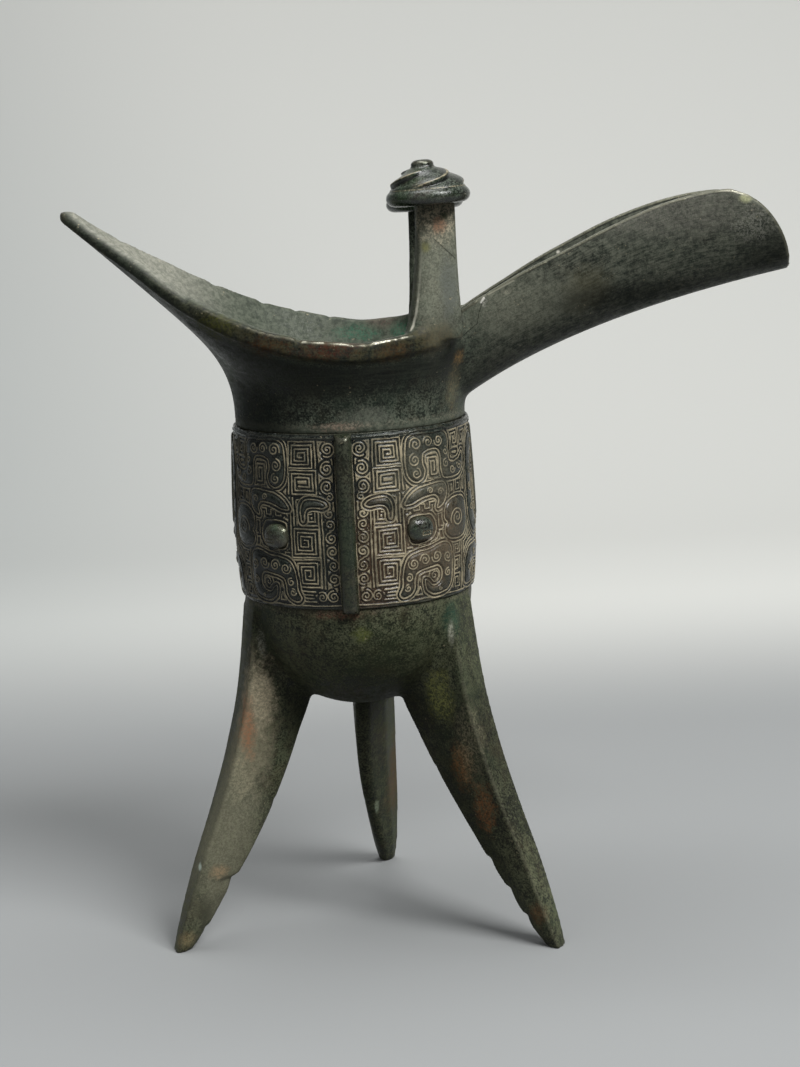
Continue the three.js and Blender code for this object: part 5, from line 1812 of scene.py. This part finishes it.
# %% The bowl and the legs
LOWER_STAINS_AND_SHADE = [
    # Painted shade: the bowl darker towards its bottom
    ((0, 0, 62), (40, 40, 14), (10, 13, 9), 0.7, 0.8, 0.2),
    ((8, -22, 80), (20, 16, 12), (60, 70, 40), 0.35, 1.4, 0.4),
    # Painted shade: the bowl's flank darker on the tail side, near the leg
    ((-27, -16, 80), (7, 14, 22), (12, 16, 12), 0.6, 1.2, 0.3),
    ((0.6, -29.1, 86.3), (3.0, 4, 2.8), (116, 124, 62), 0.6, 1.8, 0.6),
    ((-5.4, -29.3, 91.8), (9, 4, 1.5), (152, 108, 88), 0.6, 2.0, 0.85),
    ((0, 0, 92.4), (60, 60, 1.2), (130, 124, 104), 0.45, 1.8, 1.0),
    ((24, -19, 87), (3.5, 4, 5), (42, 84, 72), 0.5, 1.8, 0.5),
    ((-25.4, -13.8, 82), (1.4, 3, 5), (160, 160, 146), 0.6, 1.6, 0.85),
    ((-38, -15, 34), (16, 8, 50), (146, 144, 122), 0.75, 1.0, 0.35),
    ((-29, -14, 60), (9, 5, 22), (150, 142, 118), 0.6, 1.6, 0.35),
    ((-27, -13, 68), (5, 4, 11), (196, 184, 156), 0.7, 2.6, 0.6),
    ((-30.4, -14.5, 60), (2.4, 4, 10), (166, 112, 78), 0.7, 2.6, 0.6),
    ((-33, -15, 46), (4, 4, 8), (170, 164, 136), 0.5, 2.6, 0.8),
    ((-44.9, -16.6, 23.2), (0.8, 2, 1.2), (206, 220, 206), 0.9, 0.8, 0.0),
    ((-40, -16, 21.3), (3.4, 4, 2.4), (172, 146, 112), 0.65, 1.8, 0.6),
    ((-50, -18, 3.6), (4, 4, 3), (164, 146, 108), 0.65, 1.6, 0.6),
    ((-44, -19, 10), (3, 5, 6), (22, 26, 20), 0.6, 1.8, 0.4),
    ((23.5, -18.7, 83.5), (0.9, 3, 4.5), (200, 200, 180), 0.8, 1.6, 0.7),
    ((28, -17, 40), (20, 12, 44), (20, 20, 13), 0.55, 1.0, 0.3),
    ((20.1, -16, 66.5), (5, 4, 9), (140, 142, 84), 0.7, 2.4, 0.85),
    ((25, -18, 48), (4, 4, 8), (150, 106, 66), 0.6, 2.2, 0.8),
    ((30.4, -20.6, 36.4), (3.6, 4, 8), (150, 104, 66), 0.65, 2.2, 0.8),
    ((27, -20, 55), (5, 4, 12), (150, 144, 118), 0.5, 2.2, 0.92),
    ((42.9, -25.8, 9.1), (3, 4, 4), (136, 106, 76), 0.7, 1.8, 0.6),
    ((1.4, 37, 21), (0.7, 3, 3), (196, 210, 180), 0.8, 1.6, 0.6),
    ((-0.8, 37, 31), (0.6, 3, 3), (196, 210, 180), 0.8, 1.6, 0.7),
    ((7, 42, 30), (4, 8, 16), (126, 96, 72), 0.6, 1.8, 0.6),
]
LOWER_COLOURS = ((11, 14, 10), (116, 120, 94), (44, 62, 42), (74, 60, 42))
paint(lower, bronze(
    "lower_bronze", LOWER_COLOURS, (0.85, 0.4, 0.35), None, (90, 90, 1200), LOWER_STAINS_AND_SHADE, specks=0.25, rub=0.35))

# %% The band, the ridges, the caps and the handle
BAND_COLOURS = ((11, 16, 14), (72, 78, 70), (32, 50, 40), (56, 48, 34))
BAND_STAINS = [
    ((20, -24, 108), (16, 14, 16), (132, 112, 88), 0.5, 1.8, 0.5),
    ((18, -26, 126), (16, 14, 12), (120, 116, 98), 0.45, 1.8, 0.5),
    ((4, -30, 104), (8, 8, 22), (112, 84, 58), 0.4, 2.0, 0.6),
]
# Painted shade, laid over everything: the band darker on its tail side and at its end on the spout side
BAND_PAINTED_SHADE = [
    ((-30, -18, 116), (16, 20, 40), (16, 21, 18), 0.6, 1.0, 0.3),
    ((-10, -30, 114), (12, 10, 20), (24, 30, 24), 0.35, 1.8, 0.6),
    ((30, -8, 128), (8, 12, 12), (20, 26, 24), 0.5, 1.6, 0.4),
]
PLAIN_COLOURS = ((12, 16, 11), (72, 76, 58), (36, 52, 34), (66, 54, 36))
CAP_COLOURS = ((6, 10, 8), (84, 92, 80), (54, 74, 46), (88, 72, 60))
carved = bronze(
    "carved_bronze", BAND_COLOURS, (0.8, 0.4, 0.3), stains_and_light=BAND_STAINS, specks=0.15, rub=0.3, cuts=0.92,
    painted_shade=BAND_PAINTED_SHADE, gloss=0.1, bump=0.15, shine=0.35,
)
plain = bronze(
    "polished_bronze", PLAIN_COLOURS, (0.75, 0.45, 0.3), strokes=(80, 80, 300), specks=0.1, rub=0.5, cuts=0.8,
    gloss=0.1, bump=0.15, shine=0.4,
)
glossy = bronze(
    "cap_bronze", CAP_COLOURS, (0.8, 0.6, 0.4), specks=0.25, rub=0.6, cuts=0.85, gloss=0.22, bump=0.25, shine=0.6)
handle = bronze("handle_bronze", DARK_COLOURS, (0.8, 0.6, 0.4), strokes=(60, 60, 500), specks=0.3, rub=0.6)
for name, made in pieces.items():
    if made in (upper, lower):
        continue
    if name.startswith("carved"):
        paint(made, carved)
    elif "handle" in name or made == head:
        paint(made, handle)
    elif "cap" in name or "eye" in name:
        paint(made, glossy)
    else:
        paint(made, plain)

# %% [markdown]
# ## Floor and light
# The vessel stands on a pale sweep that turns up into a wall well behind it, painted darker towards
# its left and its foot as painted shadow. Dark bronze shows its shape by what it mirrors, so the
# light is soft and comes from above: a strong lamp from the front on the spout's side, a broad one
# overhead, a weak one from the tail's side, and a sky that is brighter above than below.

# %% The sweep
WALL_PLACE = 1.15
SWEEP_HALF = 3.0
WALL_HEIGHT = 3.0
BEND_RADIUS = 0.6
HORIZON = (0.17, 0.42)
FLOOR_PAPER = (0.34, 0.35, 0.35, 1)
BACKDROP_PAPER = (0.73, 0.735, 0.70, 1)
SHADED_PAPER = (0.45, 0.48, 0.475, 1)
UNSEEN_SHARE = 0.15


def sweep():
    """A wide floor whose far edge is drawn up into a wall, with a round bend between them."""
    bm = bmesh.new()
    bmesh.ops.create_grid(bm, x_segments=1, y_segments=1, size=SWEEP_HALF)
    bmesh.ops.translate(bm, verts=bm.verts, vec=(0, WALL_PLACE - SWEEP_HALF, 0))
    edge = [e for e in bm.edges if all(v.co.y > WALL_PLACE - 0.01 for v in e.verts)]
    risen = bmesh.ops.extrude_edge_only(bm, edges=edge)["geom"]
    risen = [part for part in risen if isinstance(part, bmesh.types.BMVert)]
    bmesh.ops.translate(bm, verts=risen, vec=(0, 0, WALL_HEIGHT))
    bmesh.ops.bevel(
        bm, geom=edge, offset=BEND_RADIUS, offset_type="OFFSET", segments=24, profile=0.5, affect="EDGES",
        material=-1,
    )
    made = as_object(bm, "sweep")
    made.data.shade_smooth()
    made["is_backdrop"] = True
    return made


backdrop = sweep()
pale = bpy.data.materials.new("pale_sweep")
pale.use_nodes = True
tree = pale.node_tree
place = add(tree, "ShaderNodeTexCoord").outputs["Object"]
spread = add(tree, "ShaderNodeSeparateXYZ", {"Vector": place}).outputs
# Painted shadow: the backdrop darker towards its left and its foot
shaded = ramp(tree, sum_of(tree, spread["X"], product_of(tree, spread["Z"], 0.6)), -0.5, 0.1)
paper = blend(tree, SHADED_PAPER, BACKDROP_PAPER, shaded)
paper = blend(tree, FLOOR_PAPER, paper, ramp(tree, spread["Y"], *HORIZON))
rays = add(tree, "ShaderNodeLightPath").outputs
seen = sum_of(tree, rays["Is Camera Ray"], rays["Is Glossy Ray"], rays["Is Transmission Ray"])
seen = ramp(tree, seen, 0, 1, UNSEEN_SHARE, 1)
face = tree.nodes["Principled BSDF"]
tree.links.new(blend(tree, (0, 0, 0, 1), paper, seen), face.inputs["Base Color"])
face.inputs["Roughness"].default_value = 0.9
face.inputs["Specular IOR Level"].default_value = 0.1
paint(backdrop, pale)


# %% The lamps
LIT_SPOT = Vector((0, 0, 0.1))
# Each lamp: its place, its width and height in metres, and its power in watts
LAMPS = {
    "key_lamp": ((0.62, -0.72, 1.15), (0.55, 0.55), 19),
    "overhead_lamp": ((-0.1, 0.05, 1.5), (0.9, 0.7), 10),
    "fill_lamp": ((-0.9, -1.3, 0.7), (0.8, 0.8), 1.2),
}
for name, (place, size, power) in LAMPS.items():
    light = bpy.data.lights.new(name, "AREA")
    light.shape = "RECTANGLE"
    light.size, light.size_y = size
    light.energy = power
    made = bpy.data.objects.new(name, light)
    bpy.context.scene.collection.objects.link(made)
    made.location = place
    made.rotation_euler = (LIT_SPOT - Vector(place)).to_track_quat("-Z", "Y").to_euler()
print("lamps:", ", ".join(LAMPS))

# %% The sky
SKY_STRENGTHS = (0.02, 0.34)
world = bpy.data.worlds.new("studio")
world.use_nodes = True
tree = world.node_tree
upwards = add(tree, "ShaderNodeTexCoord").outputs["Generated"]
upwards = add(tree, "ShaderNodeSeparateXYZ", {"Vector": upwards}).outputs["Z"]
sky = tree.nodes["Background"]
tree.links.new(ramp(tree, upwards, -0.05, 0.7, *SKY_STRENGTHS), sky.inputs["Strength"])
sky.inputs["Color"].default_value = (0.97, 0.99, 1, 1)
bpy.context.scene.world = world
bpy.context.scene.view_settings.view_transform = "Standard"

# %% [markdown]
# ## The camera
# The camera stands in front of the vessel, a little above its rim, and looks slightly down with a
# small roll. Its place and turn were solved from the rim, the band and the three feet.

# %% The camera
FOCAL_PIXELS = 2200
PICTURE_HEIGHT = 1067
CAMERA_PLACE = Vector((11.4, -570.7, 208.1)) * MM + AXIS
CAMERA_YAW = math.radians(0.02)
CAMERA_PITCH = math.radians(10.08)
CAMERA_ROLL = math.radians(-2.6)

ahead = Vector((
    math.sin(CAMERA_YAW) * math.cos(CAMERA_PITCH),
    math.cos(CAMERA_YAW) * math.cos(CAMERA_PITCH),
    -math.sin(CAMERA_PITCH),
))
level = Vector((math.cos(CAMERA_YAW), -math.sin(CAMERA_YAW), 0))
upright = level.cross(ahead)
right = math.cos(CAMERA_ROLL) * level + math.sin(CAMERA_ROLL) * upright
up = -math.sin(CAMERA_ROLL) * level + math.cos(CAMERA_ROLL) * upright
camera = bpy.data.objects.new("camera", bpy.data.cameras.new("camera"))
bpy.context.scene.collection.objects.link(camera)
camera.matrix_world = Matrix.Translation(CAMERA_PLACE) @ Matrix((right, up, -ahead)).transposed().to_4x4()
camera.data.sensor_width = 36
camera.data.lens = FOCAL_PIXELS / PICTURE_HEIGHT * camera.data.sensor_width
camera.data.clip_start = 0.01
bpy.context.scene.camera = camera
print(f"lens {camera.data.lens:.1f} mm, {CAMERA_PLACE.length / MM:.0f} mm from the middle of the feet")

# %% [markdown]
# ## The sizes
# The last cell works out how large the solids and the dressed vessel are.

# %% Keep the sizes and finish
size = {"cad": cad_box, "visual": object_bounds()}
